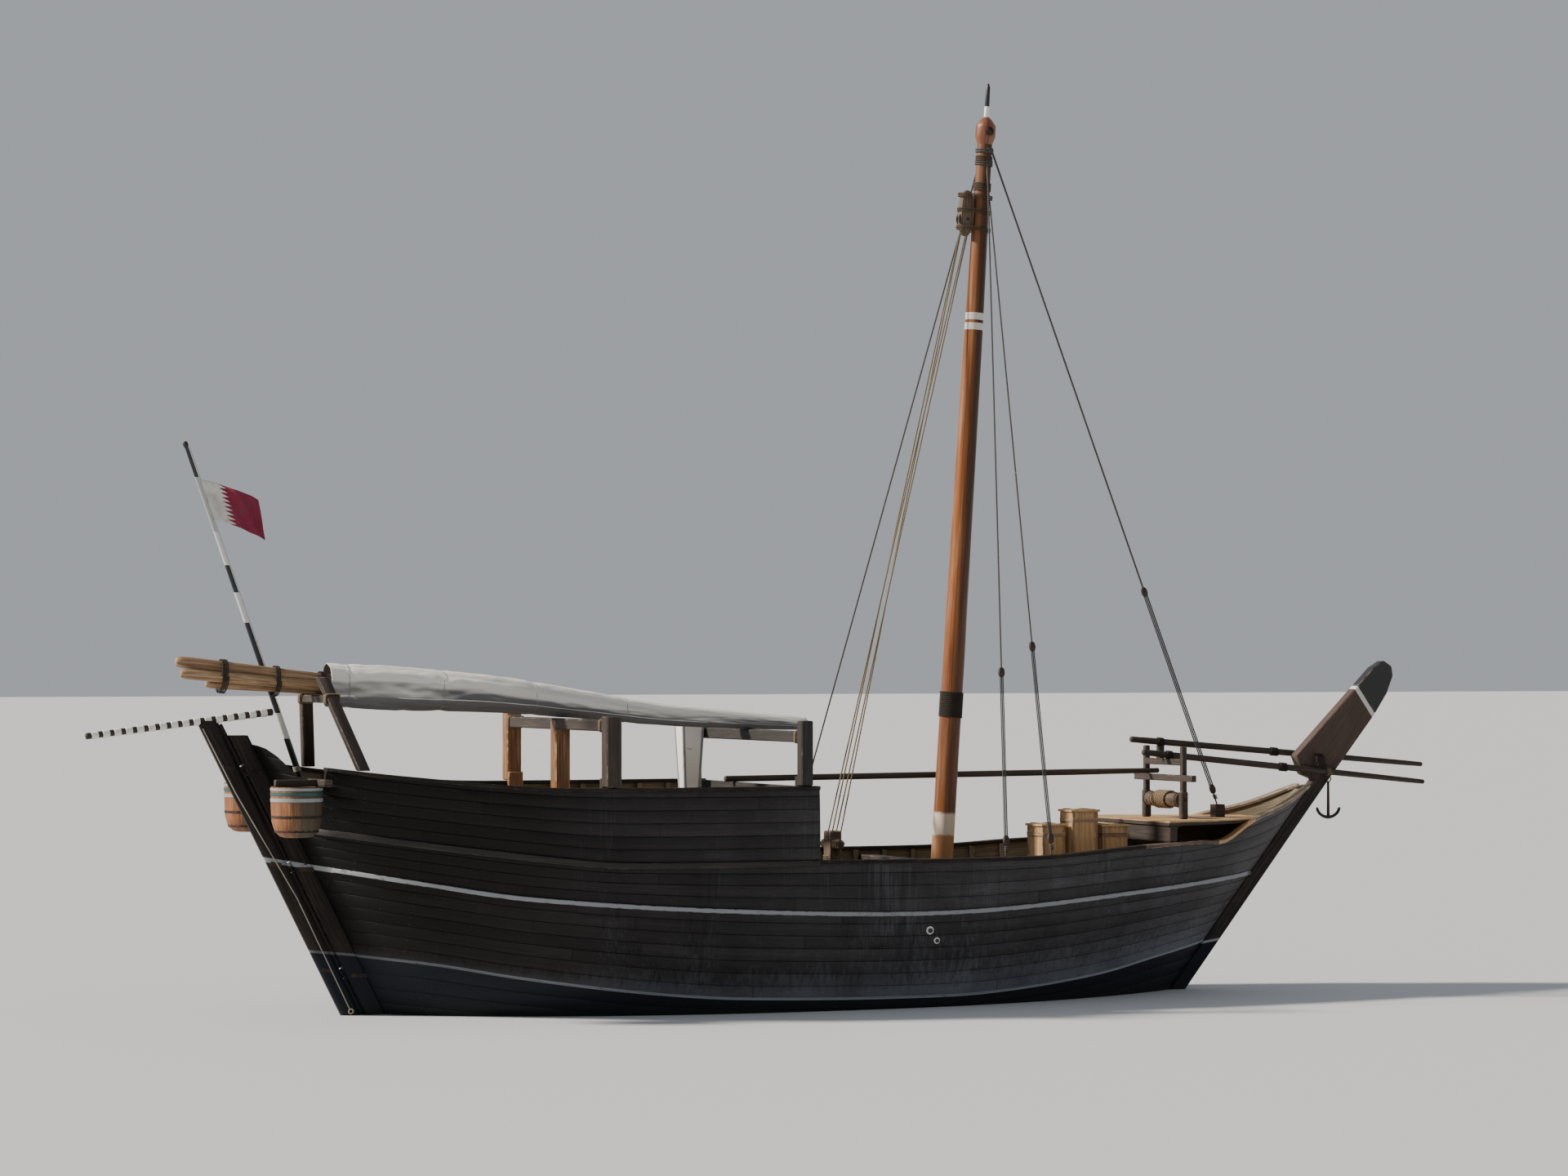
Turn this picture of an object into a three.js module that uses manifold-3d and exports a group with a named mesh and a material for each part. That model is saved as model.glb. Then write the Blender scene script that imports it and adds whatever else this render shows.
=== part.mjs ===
// A double-ended Gulf trading dhow, afloat at rest with her lateen yard lowered and her sail furled.
// Millimetres: +X runs to the bow, +Y to port and +Z up, and the origin is amidships on the waterline.

import * as THREE from "three";
import { mergeVertices } from "three/addons/utils/BufferGeometryUtils.js";
import Module from "manifold-3d";

const wasm = await Module();
wasm.setup();

// Driving dimensions

// Gap left where one piece bears on another.
const SEAT = 0.3;

// Hull: the ends of the planking lean outwards with height, and the half breadth changes with height.
const STERN_FOOT_X = -8200;
const STERN_RAKE = -0.507;
const BOW_FOOT_X = 8350;
const BOW_RAKE = 0.79;
const FULLEST = 0.49;
const PLANK_FOOT = -1700;
const PLANK_HEAD = 5200;
const KEEL_FOOT = -2050;
const END_HALF = 90;
const POST_HALF = 125;
const POST_DEPTH = 350;
const STATIONS = 20;
const WALL = 120;

// Decks: height of the walking surface, and how thick the planks are.
const DECK_THICK = 60;
const MAIN_DECK = 2100;
const QUARTER_DECK = 3700;
const FOREDECK = 3450;
const FOREDECK_THICK = 80;
const BREAK_X = -810;
const FOREDECK_X = 7300;
const QUARTER_END_X = -550;

// Rails
const RAIL_THICK = 70;
const RAIL_IN = 200;
const RAIL_OUT = 50;
const DIP_Z = 4330;
const DIP_FORE_X = -9750;
const DIP_AFT_X = -10050;

// Rudder: its axis runs parallel to the sternpost.
const HINGE_FOOT_X = STERN_FOOT_X - POST_DEPTH - 50;
const RUDDER_HEAD = 5520;
const KNUCKLE_R = 40;
const KNUCKLE_TALL = 90;

// Mast: stepped on the main deck and raked forward.
const MAST_X = 3306;
const MAST_RAKE = Math.atan(0.067);
const MAST_LENGTH = 14800;
const STAY_TOP = 14600;
const ROPE_SIDES = 8;

// Yard and furled sail, lying fore and aft on their frames.
const BUNDLE_AFT_X = -9300;

// Finishes: colour, roughness and metalness.
const FINISHES = {
  tarred_hull: [0x40352d, 0.8, 0],
  dark_timber: [0x3a2a20, 0.75, 0],
  weathered_timber: [0x6b4d35, 0.8, 0],
  bright_timber: [0x9a6238, 0.55, 0],
  varnished_spar: [0x8a4726, 0.4, 0],
  deck_planks: [0x8a7256, 0.85, 0],
  white_paint: [0xd8d4ca, 0.6, 0],
  black_paint: [0x1a1a1c, 0.5, 0],
  sailcloth: [0xb9b9b4, 0.9, 0],
  flag_cloth: [0x7d1c33, 0.9, 0],
  rope: [0x8f8468, 0.9, 0],
  iron: [0x2a2827, 0.55, 0.8],
  box_timber: [0xb9864f, 0.7, 0],
};

// Hull form by height: half breadth amidships, then the power and the root that shape each end.
const FORM = [
  { z: -1700, half: 130, sternPower: 2.0, sternRoot: 1.2, bowPower: 2.0, bowRoot: 1.2 },
  { z: -1450, half: 900, sternPower: 2.0, sternRoot: 1.15, bowPower: 2.0, bowRoot: 1.15 },
  { z: -1100, half: 1650, sternPower: 2.1, sternRoot: 1.05, bowPower: 2.0, bowRoot: 1.1 },
  { z: -600, half: 2250, sternPower: 2.2, sternRoot: 0.95, bowPower: 2.1, bowRoot: 1.0 },
  { z: 0, half: 2600, sternPower: 2.4, sternRoot: 0.85, bowPower: 2.2, bowRoot: 0.95 },
  { z: 700, half: 2830, sternPower: 2.6, sternRoot: 0.75, bowPower: 2.3, bowRoot: 0.9 },
  { z: 1500, half: 2960, sternPower: 2.8, sternRoot: 0.68, bowPower: 2.4, bowRoot: 0.85 },
  { z: 2500, half: 3000, sternPower: 3.0, sternRoot: 0.6, bowPower: 2.5, bowRoot: 0.8 },
  { z: 3600, half: 3000, sternPower: 3.3, sternRoot: 0.53, bowPower: 2.6, bowRoot: 0.75 },
  { z: 4600, half: 2950, sternPower: 3.4, sternRoot: 0.5, bowPower: 2.7, bowRoot: 0.72 },
  { z: 5200, half: 2900, sternPower: 3.5, sternRoot: 0.48, bowPower: 2.8, bowRoot: 0.7 },
];

// Lines along the side, each point as [x, z].
const QUARTER_RAIL = [
  [-9750, 4670],
  [-8500, 4520],
  [-6000, 4300],
  [-4000, 4270],
  [QUARTER_END_X, 4270],
];
const MAIN_RAIL = [
  [QUARTER_END_X + SEAT, 2870],
  [4200, 2870],
  [6300, 3000],
  [8200, 3070],
  [8850, 3070],
  [9600, 3450],
  [10600, 3740],
  [11450, 4110],
];
const STERN_FIN = [
  [DIP_AFT_X, DIP_Z],
  [-10150, 4480],
  [-10300, 4660],
  [-10480, 4860],
  [-10650, 5010],
  [-10850, 5120],
  [-11400, PLANK_HEAD],
];
const RUBBING_STRAKE = [
  [-9400, 2800],
  [-8000, 2560],
  [-6100, 2270],
  [-2000, 1980],
  [2300, 1880],
  [6800, 2150],
  [10150, 2380],
];
const WALE = [
  [-9900, 3560],
  [-7800, 3260],
  [-5600, 2990],
  [-4500, 2890],
  [-560, 2870],
];

// Solids

// Turns a geometry into a solid, keeping only positions and dropping faces with no area.
function solid(geometry) {
  const loose = geometry.index ? geometry.toNonIndexed() : geometry.clone();
  for (const name of Object.keys(loose.attributes)) {
    if (name !== "position") {
      loose.deleteAttribute(name);
    }
  }
  const merged = mergeVertices(loose, 1e-3);
  const corners = merged.index.array;
  const kept = [];
  for (let i = 0; i < corners.length; i += 3) {
    const [a, b, c] = [corners[i], corners[i + 1], corners[i + 2]];
    if (a !== b && b !== c && c !== a) {
      kept.push(a, b, c);
    }
  }
  return new wasm.Manifold(
    new wasm.Mesh({
      numProp: 3,
      vertProperties: merged.attributes.position.array,
      triVerts: new Uint32Array(kept),
    }),
  );
}

// Turns a solid back into a geometry.
function geometryOf(body) {
  const mesh = body.getMesh();
  const geometry = new THREE.BufferGeometry();
  geometry.setAttribute("position", new THREE.BufferAttribute(new Float32Array(mesh.vertProperties), 3));
  geometry.setIndex(new THREE.BufferAttribute(new Uint32Array(mesh.triVerts), 1));
  return geometry;
}

function join(...bodies) {
  return bodies.reduce((sum, body) => sum.add(body));
}

// A box between two corners.
function box(x0, x1, y0, y1, z0, z1) {
  const geometry = new THREE.BoxGeometry(x1 - x0, y1 - y0, z1 - z0);
  geometry.translate((x0 + x1) / 2, (y0 + y1) / 2, (z0 + z1) / 2);
  return solid(geometry);
}

// A flat outline of [x, z] points, cut from a plank that lies between two values of y.
function plate(outline, y0, y1) {
  const shape = new THREE.Shape(outline.map(([x, z]) => new THREE.Vector2(x, z)));
  const geometry = new THREE.ExtrudeGeometry(shape, { depth: y1 - y0, bevelEnabled: false });
  geometry.rotateX(Math.PI / 2);
  geometry.translate(0, y1, 0);
  return solid(geometry);
}

// A straight round spar or rope between two points, each [x, y, z], with a radius at each end.
function rod(from, to, fromRadius, toRadius = fromRadius, sides = 12) {
  const start = new THREE.Vector3(...from);
  const way = new THREE.Vector3(...to).sub(start);
  const geometry = new THREE.CylinderGeometry(toRadius, fromRadius, way.length(), sides);
  geometry.translate(0, way.length() / 2, 0);
  geometry.applyQuaternion(
    new THREE.Quaternion().setFromUnitVectors(new THREE.Vector3(0, 1, 0), way.normalize()),
  );
  geometry.translate(start.x, start.y, start.z);
  return solid(geometry);
}

// A turned body about the Z axis, from a profile of [radius, z] points.
function turned(profile, sides = 16) {
  const geometry = new THREE.LatheGeometry(
    profile.map(([radius, z]) => new THREE.Vector2(radius, z)),
    sides,
  );
  geometry.rotateX(Math.PI / 2);
  return solid(geometry);
}

// Reverses the faces of an indexed body that would otherwise face inwards.
function outwards(points, faces) {
  let volume = 0;
  for (const [a, b, c] of faces) {
    const [p, q, r] = [points[a], points[b], points[c]];
    volume += p[0] * (q[1] * r[2] - q[2] * r[1]);
    volume += p[1] * (q[2] * r[0] - q[0] * r[2]);
    volume += p[2] * (q[0] * r[1] - q[1] * r[0]);
  }
  const turnedFaces = volume < 0 ? faces.map(([a, b, c]) => [a, c, b]) : faces;
  const geometry = new THREE.BufferGeometry();
  geometry.setAttribute("position", new THREE.Float32BufferAttribute(points.flat(), 3));
  geometry.setIndex(turnedFaces.flat());
  return solid(geometry);
}

// A body through closed sections that all have the same number of points.
function loft(sections) {
  const count = sections[0].length;
  const points = sections.flat();
  const faces = [];
  for (let s = 0; s + 1 < sections.length; s += 1) {
    for (let i = 0; i < count; i += 1) {
      const a = s * count + i;
      const b = s * count + ((i + 1) % count);
      // Both halves of a section are split the same way, so that the two sides mirror each other.
      if (i < count / 2) {
        faces.push([a, b, a + count], [b, b + count, a + count]);
      } else {
        faces.push([a, b, b + count], [a, b + count, a + count]);
      }
    }
  }
  // Each end is closed by strips between the two halves of its section.
  const last = (sections.length - 1) * count;
  for (let low = 0, high = count - 1; low + 1 < high; low += 1, high -= 1) {
    faces.push([low, high, low + 1]);
    faces.push([last + low, last + low + 1, last + high]);
    if (low + 1 < high - 1) {
      faces.push([low + 1, high, high - 1]);
      faces.push([last + low + 1, last + high - 1, last + high]);
    }
  }
  return outwards(points, faces);
}

// Hull form

function mix(a, b, share) {
  return a + (b - a) * share;
}

// Height on a line of [x, z] points at one x.
function heightOn(line, x) {
  let i = 1;
  while (i < line.length - 1 && x > line[i][0]) {
    i += 1;
  }
  const [[x0, z0], [x1, z1]] = [line[i - 1], line[i]];
  return mix(z0, z1, (x - x0) / (x1 - x0));
}

function formAt(z) {
  let i = 1;
  while (i < FORM.length - 1 && z > FORM[i].z) {
    i += 1;
  }
  const [low, high] = [FORM[i - 1], FORM[i]];
  const share = Math.min(Math.max((z - low.z) / (high.z - low.z), 0), 1);
  return Object.fromEntries(Object.keys(low).map((key) => [key, mix(low[key], high[key], share)]));
}

function sternEnd(z) {
  return STERN_FOOT_X + STERN_RAKE * z;
}

function bowEnd(z) {
  return BOW_FOOT_X + BOW_RAKE * z;
}

// Half breadth of the planking's outer face.
function halfBreadth(x, z) {
  const form = formAt(z);
  const middle = mix(sternEnd(z), bowEnd(z), FULLEST);
  const aft = x < middle;
  const end = aft ? sternEnd(z) : bowEnd(z);
  const share = Math.min(Math.max((x - middle) / (end - middle), 0), 1);
  const power = aft ? form.sternPower : form.bowPower;
  const root = aft ? form.sternRoot : form.bowRoot;
  return END_HALF + (form.half - END_HALF) * (1 - share ** power) ** root;
}

// The whole boat's form from keel to planking head, drawn in by a distance from the outer face.
function hullForm(inset) {
  const sections = [];
  for (let i = 0; i <= STATIONS; i += 1) {
    const share = (1 - Math.cos((Math.PI * i) / STATIONS)) / 2;
    const side = FORM.map(({ z }) => {
      const x = mix(sternEnd(z) + inset * 1.2, bowEnd(z) - inset * 1.2, share);
      return [x, Math.max(halfBreadth(x, z) - inset, 20), z];
    });
    const starboard = side.map(([x, y, z]) => [x, -y, z]).reverse();
    sections.push([...starboard, ...side]);
  }
  return loft(sections);
}

// A plank bent round the hull: at each x of a line it reaches from one distance outside the planking
// to another, and from the line down by its depth. The side is 1 for port and -1 for starboard.
function bentPlank(line, side, inner, outer, deep, pieces = 16) {
  const [from, to] = [line[0][0], line[line.length - 1][0]];
  const stops = new Set(line.map(([x]) => x));
  for (let i = 1; i < pieces; i += 1) {
    stops.add(mix(from, to, i / pieces));
  }
  const sections = [...stops]
    .sort((a, b) => a - b)
    .map((x) => {
      const top = heightOn(line, x);
      const half = halfBreadth(x, top - deep / 2);
      const near = side * Math.max(half + inner, 1);
      const far = side * (half + outer);
      return [
        [x, near, top - deep],
        [x, far, top - deep],
        [x, far, top],
        [x, near, top],
      ];
    });
  return loft(sections);
}

// Scene graph

const dhow = new THREE.Group();

function material([color, roughness, metalness]) {
  return new THREE.MeshStandardMaterial({ color, roughness, metalness });
}

function piece(name, finish, body) {
  const mesh = new THREE.Mesh(geometryOf(body), material(FINISHES[finish]));
  mesh.name = name;
  dhow.add(mesh);
}

const SIDES = [
  { word: "starboard", sign: -1 },
  { word: "port", sign: 1 },
];

// Hull

const outerForm = hullForm(0);
const innerForm = hullForm(WALL);
const deckForm = hullForm(WALL + SEAT);
const FAR = 20000;

function wholeWidth(outline) {
  return plate(outline, -FAR, FAR);
}

// The space on one side of the centreline.
function half(sign) {
  return sign < 0 ? box(-FAR, FAR, -FAR, -SEAT / 2, -FAR, FAR) : box(-FAR, FAR, SEAT / 2, FAR, -FAR, FAR);
}

// Hold under the main deck and cabin under the quarterdeck, as [x0, x1, y0, y1, z0, z1].
const HOLD_FLOOR = 700;
const HOLD = [300, 5600, -1500, 1500, HOLD_FLOOR, MAIN_DECK];
const CABIN = [-6200, BREAK_X + 1, -1600, 1600, 2180, 3500];
const HATCH = [1430, 2570, -770, 770];

const underDecks = wholeWidth([
  [-FAR, -FAR],
  [FAR, -FAR],
  [FAR, MAIN_DECK - DECK_THICK],
  [BREAK_X, MAIN_DECK - DECK_THICK],
  [BREAK_X, QUARTER_DECK - DECK_THICK],
  [-FAR, QUARTER_DECK - DECK_THICK],
]);
const hullBody = outerForm
  .intersect(underDecks)
  .subtract(box(...HOLD))
  .subtract(box(...CABIN));
piece("hull_bottom", "tarred_hull", hullBody.intersect(box(-FAR, FAR, -FAR, FAR, -FAR, HOLD_FLOOR - SEAT)));
const overBottom = hullBody.intersect(box(-FAR, FAR, -FAR, FAR, HOLD_FLOOR, FAR));
for (const { word, sign } of SIDES) {
  piece("hull_side_" + word, "tarred_hull", overBottom.intersect(half(sign)));
}

const STEM_FRONT = POST_DEPTH;
piece(
  "keel",
  "tarred_hull",
  plate(
    [
      [sternEnd(PLANK_FOOT) - POST_DEPTH, PLANK_FOOT - SEAT],
      [sternEnd(PLANK_FOOT) - POST_DEPTH + 90, KEEL_FOOT],
      [bowEnd(PLANK_FOOT) + 60, KEEL_FOOT],
      [bowEnd(PLANK_FOOT) + STEM_FRONT, PLANK_FOOT - SEAT],
    ],
    -POST_HALF,
    POST_HALF,
  ),
);

// Stem, with the long blade of its head standing up ahead of the bow
const STEM_HEAD_Z = 4680;
const BAND_CUT = [
  [12690, 6110],
  [13100, 5530],
];
const stemBlade = [
  [bowEnd(PLANK_FOOT) + SEAT, PLANK_FOOT],
  [bowEnd(PLANK_FOOT) + STEM_FRONT, PLANK_FOOT],
  [12020, 4200],
  [12460, 4740],
  [13100, 5530],
  [13380, 5950],
  [13520, 6300],
  [13490, 6500],
  [13300, 6620],
  [13050, 6470],
  [12690, 6110],
  [11240, STEM_HEAD_Z],
  [11400, 4300],
  [bowEnd(4200) + SEAT, 4200],
];
const wholeStem = plate(stemBlade, -POST_HALF, POST_HALF);
// Everything forward of the white band, as an outline that leaves a seat gap when asked.
function forwardOfBand(gap) {
  const [[x0, z0], [x1, z1]] = BAND_CUT;
  const [dx, dz] = [(x1 - x0) * 3, (z1 - z0) * 3];
  return wholeWidth([
    [x0 - dx + gap, z0 - dz],
    [x1 + dx + gap, z1 + dz],
    [x1 + dx + 3000, z1 + dz + 3000],
    [x0 - dx + 3000, z0 - dz + 3000],
  ]);
}
piece("stem_post", "dark_timber", wholeStem.subtract(forwardOfBand(0)));
piece("stem_head", "black_paint", wholeStem.intersect(forwardOfBand(SEAT)));

// Rudder fittings are drawn upright about the axis, then leaned with the sternpost.
function hingeX(z) {
  return HINGE_FOOT_X + STERN_RAKE * z;
}

function onHinge(body, z) {
  const lean = (Math.atan(STERN_RAKE) * 180) / Math.PI;
  return body.rotate([0, lean, 0]).translate([hingeX(z), 0, z]);
}

const KNUCKLES = [-1300, 700, 2700, 4500];
const STERN_POST_HEAD = 5250;
const gudgeons = KNUCKLES.map((z) =>
  onHinge(
    join(
      rod([0, 0, 0], [0, 0, KNUCKLE_TALL], KNUCKLE_R, KNUCKLE_R, 24),
      box(0, 130, -30, 30, 0, KNUCKLE_TALL),
    ),
    z,
  ),
);
piece(
  "stern_post",
  "tarred_hull",
  join(
    plate(
      [
        [sternEnd(PLANK_FOOT) - SEAT, PLANK_FOOT],
        [sternEnd(STERN_POST_HEAD) - SEAT, STERN_POST_HEAD],
        [sternEnd(STERN_POST_HEAD) - POST_DEPTH, STERN_POST_HEAD],
        [sternEnd(PLANK_FOOT) - POST_DEPTH, PLANK_FOOT],
      ],
      -POST_HALF,
      POST_HALF,
    ),
    ...gudgeons,
  ),
);

// Bulwarks: the walls of the hull above its decks
const walls = outerForm.subtract(innerForm);
function underside(line) {
  return line.map(([x, z]) => [x, z - RAIL_THICK - SEAT]);
}
const quarterSpace = wholeWidth([
  [-FAR, QUARTER_DECK - DECK_THICK + SEAT],
  [BREAK_X + SEAT, QUARTER_DECK - DECK_THICK + SEAT],
  [BREAK_X + SEAT, MAIN_DECK - DECK_THICK + SEAT],
  [QUARTER_END_X, MAIN_DECK - DECK_THICK + SEAT],
  ...underside(QUARTER_RAIL).reverse(),
  [DIP_FORE_X, DIP_Z],
  ...STERN_FIN,
  [-FAR, PLANK_HEAD],
]);
const waistSpace = wholeWidth([
  [QUARTER_END_X + SEAT, MAIN_DECK - DECK_THICK + SEAT],
  [FAR, MAIN_DECK - DECK_THICK + SEAT],
  [FAR, heightOn(MAIN_RAIL, FAR) - RAIL_THICK - SEAT],
  ...underside(MAIN_RAIL).reverse(),
]);
for (const { word, sign } of SIDES) {
  piece("quarter_bulwark_" + word, "tarred_hull", walls.intersect(quarterSpace).intersect(half(sign)));
  piece("waist_bulwark_" + word, "tarred_hull", walls.intersect(waistSpace).intersect(half(sign)));
  piece("quarter_rail_" + word, "weathered_timber", bentPlank(QUARTER_RAIL, sign, -RAIL_IN, RAIL_OUT, RAIL_THICK));
  piece("main_rail_" + word, "weathered_timber", bentPlank(MAIN_RAIL, sign, -RAIL_IN, RAIL_OUT, RAIL_THICK, 24));
  const hullBeside = outerForm.translate([0, sign * SEAT * 1.3, 0]);
  piece(
    "rubbing_strake_" + word,
    "white_paint",
    bentPlank(RUBBING_STRAKE, sign, -60, 45, 100, 24).subtract(hullBeside),
  );
  piece("wale_" + word, "weathered_timber", bentPlank(WALE, sign, -60, 45, 120, 14).subtract(hullBeside));
}

// Decks
function deck(from, to, top, thick) {
  return deckForm.intersect(box(from, to, -FAR, FAR, top - thick + SEAT, top));
}
piece(
  "main_deck",
  "deck_planks",
  deck(BREAK_X + SEAT, FAR, MAIN_DECK, DECK_THICK).subtract(box(...HATCH, 0, FAR)),
);
piece("quarterdeck", "deck_planks", deck(-FAR, -650, QUARTER_DECK, DECK_THICK));
const STAY_BITT_X = 9500;
const STAY_BITT_HEAD = FOREDECK + 260;
const raisedRail = MAIN_RAIL.map(([x, z]) => [x, z + 5]);
const railRoom = SIDES.map(({ sign }) =>
  bentPlank(raisedRail, sign, -RAIL_IN - 4, RAIL_OUT, RAIL_THICK + 10, 24),
);
piece(
  "foredeck",
  "deck_planks",
  join(
    railRoom.reduce((body, room) => body.subtract(room), deck(FOREDECK_X, FAR, FOREDECK, FOREDECK_THICK)),
    box(STAY_BITT_X - 110, STAY_BITT_X + 110, -110, 110, FOREDECK - 20, STAY_BITT_HEAD),
  ),
);
const BEAM_X = [FOREDECK_X + 40, FOREDECK_X + 220];
const beamFoot = heightOn(MAIN_RAIL, BEAM_X[1]) + SEAT;
const beamHalf = halfBreadth(BEAM_X[1], 3000) - 20;
piece(
  "foredeck_beam",
  "dark_timber",
  box(...BEAM_X, -beamHalf, beamHalf, beamFoot, FOREDECK - FOREDECK_THICK),
);

// Bulkhead at the break of the quarterdeck, and its hinged door
const PANEL = [BREAK_X + SEAT, -750];
const DOOR_HALF = 372;
const DOOR_FOOT = 2190;
const DOOR_HEAD = 3440;
const DOOR_HINGE_X = -745;
const SILL = DOOR_FOOT - 6;
const panelHalf = halfBreadth(BREAK_X, 3000) - WALL - 40;
piece(
  "cabin_bulkhead",
  "weathered_timber",
  join(
    box(...PANEL, -panelHalf, panelHalf, MAIN_DECK + SEAT, QUARTER_DECK - DECK_THICK).subtract(
      box(-FAR, FAR, -DOOR_HALF - 8, DOOR_HALF + 8, SILL, DOOR_HEAD + 8),
    ),
    box(-775, DOOR_HINGE_X + 20, DOOR_HALF - 20, DOOR_HALF + 20, SILL - 25, SILL),
  ),
);
piece(
  "cabin_door",
  "bright_timber",
  join(
    box(DOOR_HINGE_X - 45, DOOR_HINGE_X, -DOOR_HALF, DOOR_HALF, DOOR_FOOT, DOOR_HEAD),
    rod([DOOR_HINGE_X, DOOR_HALF, SILL + SEAT], [DOOR_HINGE_X, DOOR_HALF, DOOR_FOOT + 40], 7),
  ),
);

// Hatch to the hold
const COAMING_HEAD = MAIN_DECK + 300;
const COVER_THICK = 60;
piece(
  "hatch_coaming",
  "dark_timber",
  box(HATCH[0] - 80, HATCH[1] + 80, HATCH[2] - 80, HATCH[3] + 80, MAIN_DECK + SEAT, COAMING_HEAD).subtract(
    box(...HATCH, 0, FAR),
  ),
);
piece(
  "hatch_cover",
  "weathered_timber",
  box(
    HATCH[0] - 90,
    HATCH[1] + 90,
    HATCH[2] - 90,
    HATCH[3] + 90,
    COAMING_HEAD + SEAT,
    COAMING_HEAD + SEAT + COVER_THICK,
  ),
);

// Rudder and steering spar

// Outline of the rudder by height: where it trails and half its thickness.
const RUDDER = [
  { z: -1750, trail: -8900, half: 60 },
  { z: -1500, trail: -9120, half: 70 },
  { z: -900, trail: -9330, half: 80 },
  { z: -300, trail: -9150, half: 85 },
  { z: 0, trail: -9020, half: 90 },
  { z: RUDDER_HEAD, trail: -11810, half: 90 },
];
const blade = loft(
  RUDDER.map(({ z, trail, half: thick }) => {
    const lead = hingeX(z) - 15;
    const side = [
      [lead, 10],
      [lead - 100, thick],
      [trail + 80, thick],
      [trail, thick * 0.5],
    ];
    return [
      ...side.map(([x, y]) => [x, -y, z]),
      ...side.map(([x, y]) => [x, y, z]).reverse(),
    ];
  }),
);
const notches = KNUCKLES.map((z) => onHinge(rod([0, 0, -10], [0, 0, KNUCKLE_TALL + 0.4], 55, 55, 24), z));
const pintles = KNUCKLES.map((z) =>
  onHinge(
    join(
      rod([0, 0, KNUCKLE_TALL + 0.4], [0, 0, 2 * KNUCKLE_TALL], KNUCKLE_R, KNUCKLE_R, 24),
      box(-130, 0, -30, 30, KNUCKLE_TALL + 0.4, 2 * KNUCKLE_TALL),
    ),
    z,
  ),
);
const SPAR_AFT = [-13900, 0, 5250];
const SPAR_FORE = [-10350, 0, 5680];
const SPAR_R = 65;
piece(
  "rudder",
  "tarred_hull",
  join(notches.reduce((body, notch) => body.subtract(notch), blade), ...pintles).subtract(
    rod(SPAR_AFT, SPAR_FORE, SPAR_R + SEAT),
  ),
);
piece("steering_spar", "dark_timber", rod(SPAR_AFT, SPAR_FORE, SPAR_R));

// Mast, masthead and standing rigging

// Places a body drawn about an upright mast, with z up from its foot on the main deck.
function onMast(body) {
  const rake = (MAST_RAKE * 180) / Math.PI;
  return body.rotate([0, rake, 0]).translate([MAST_X, 0, MAIN_DECK]);
}
// Radius of the mast by height above its foot.
const MAST_TAPER = [
  [220, 0],
  [210, 5900],
  [180, 11300],
  [150, 14400],
  [150, MAST_LENGTH],
];
function mastBody(grown) {
  const side = MAST_TAPER.map(([radius, z]) => [radius + grown, z]);
  return turned([[0, -grown], [side[0][0], -grown], ...side.slice(1), [0, MAST_LENGTH]]);
}
const mastFoot = box(-FAR, FAR, -FAR, FAR, -FAR, MAIN_DECK + SEAT);
piece("mast", "varnished_spar", onMast(mastBody(0)).subtract(mastFoot));
piece(
  "masthead",
  "dark_timber",
  onMast(
    turned([
      [0, MAST_LENGTH + SEAT],
      [150, MAST_LENGTH + SEAT],
      [195, MAST_LENGTH + 130],
      [195, MAST_LENGTH + 380],
      [110, MAST_LENGTH + 500],
      [55, MAST_LENGTH + 540],
      [42, MAST_LENGTH + 1130],
      [0, MAST_LENGTH + 1230],
    ]),
  ),
);
const THWART = [2780, MAST_X - 220 - 12];
piece("mast_thwart", "dark_timber", deckForm.intersect(box(...THWART, -FAR, FAR, 2480, 2700)));

// A point on the mast's axis.
function mastPoint(height) {
  return [MAST_X + height * Math.sin(MAST_RAKE), 0, MAIN_DECK + height * Math.cos(MAST_RAKE)];
}
const grownMast = onMast(mastBody(SEAT));
// Side stays, which end on the rails: the side they stand on, the upper end's height on the mast and the
// foot's x.
const STAY_R = 24;
const SIDE_STAYS = [
  { name: "backstay_port", sign: 1, top: STAY_TOP, x: 1320 },
  { name: "shroud_fore_starboard", sign: -1, top: STAY_TOP - 250, x: 4450 },
  { name: "shroud_fore_port", sign: 1, top: STAY_TOP - 250, x: 4450 },
  { name: "shroud_aft_starboard", sign: -1, top: STAY_TOP, x: 3420 },
];
for (const { name, sign, top, x } of SIDE_STAYS) {
  const footZ = heightOn(MAIN_RAIL, x - STAY_R);
  const footY = sign * (halfBreadth(x, footZ) - 80);
  piece(
    name,
    "rope",
    rod([x, footY, footZ - 40], mastPoint(top), STAY_R, STAY_R, ROPE_SIDES)
      .subtract(box(-FAR, FAR, -FAR, FAR, -FAR, heightOn(MAIN_RAIL, x + STAY_R) + SEAT))
      .subtract(grownMast),
  );
}
piece(
  "forestay",
  "rope",
  rod([STAY_BITT_X, 0, STAY_BITT_HEAD - 40], mastPoint(STAY_TOP), 30, 26, ROPE_SIDES)
    .subtract(box(-FAR, FAR, -FAR, FAR, -FAR, STAY_BITT_HEAD + SEAT))
    .subtract(grownMast),
);

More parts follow.
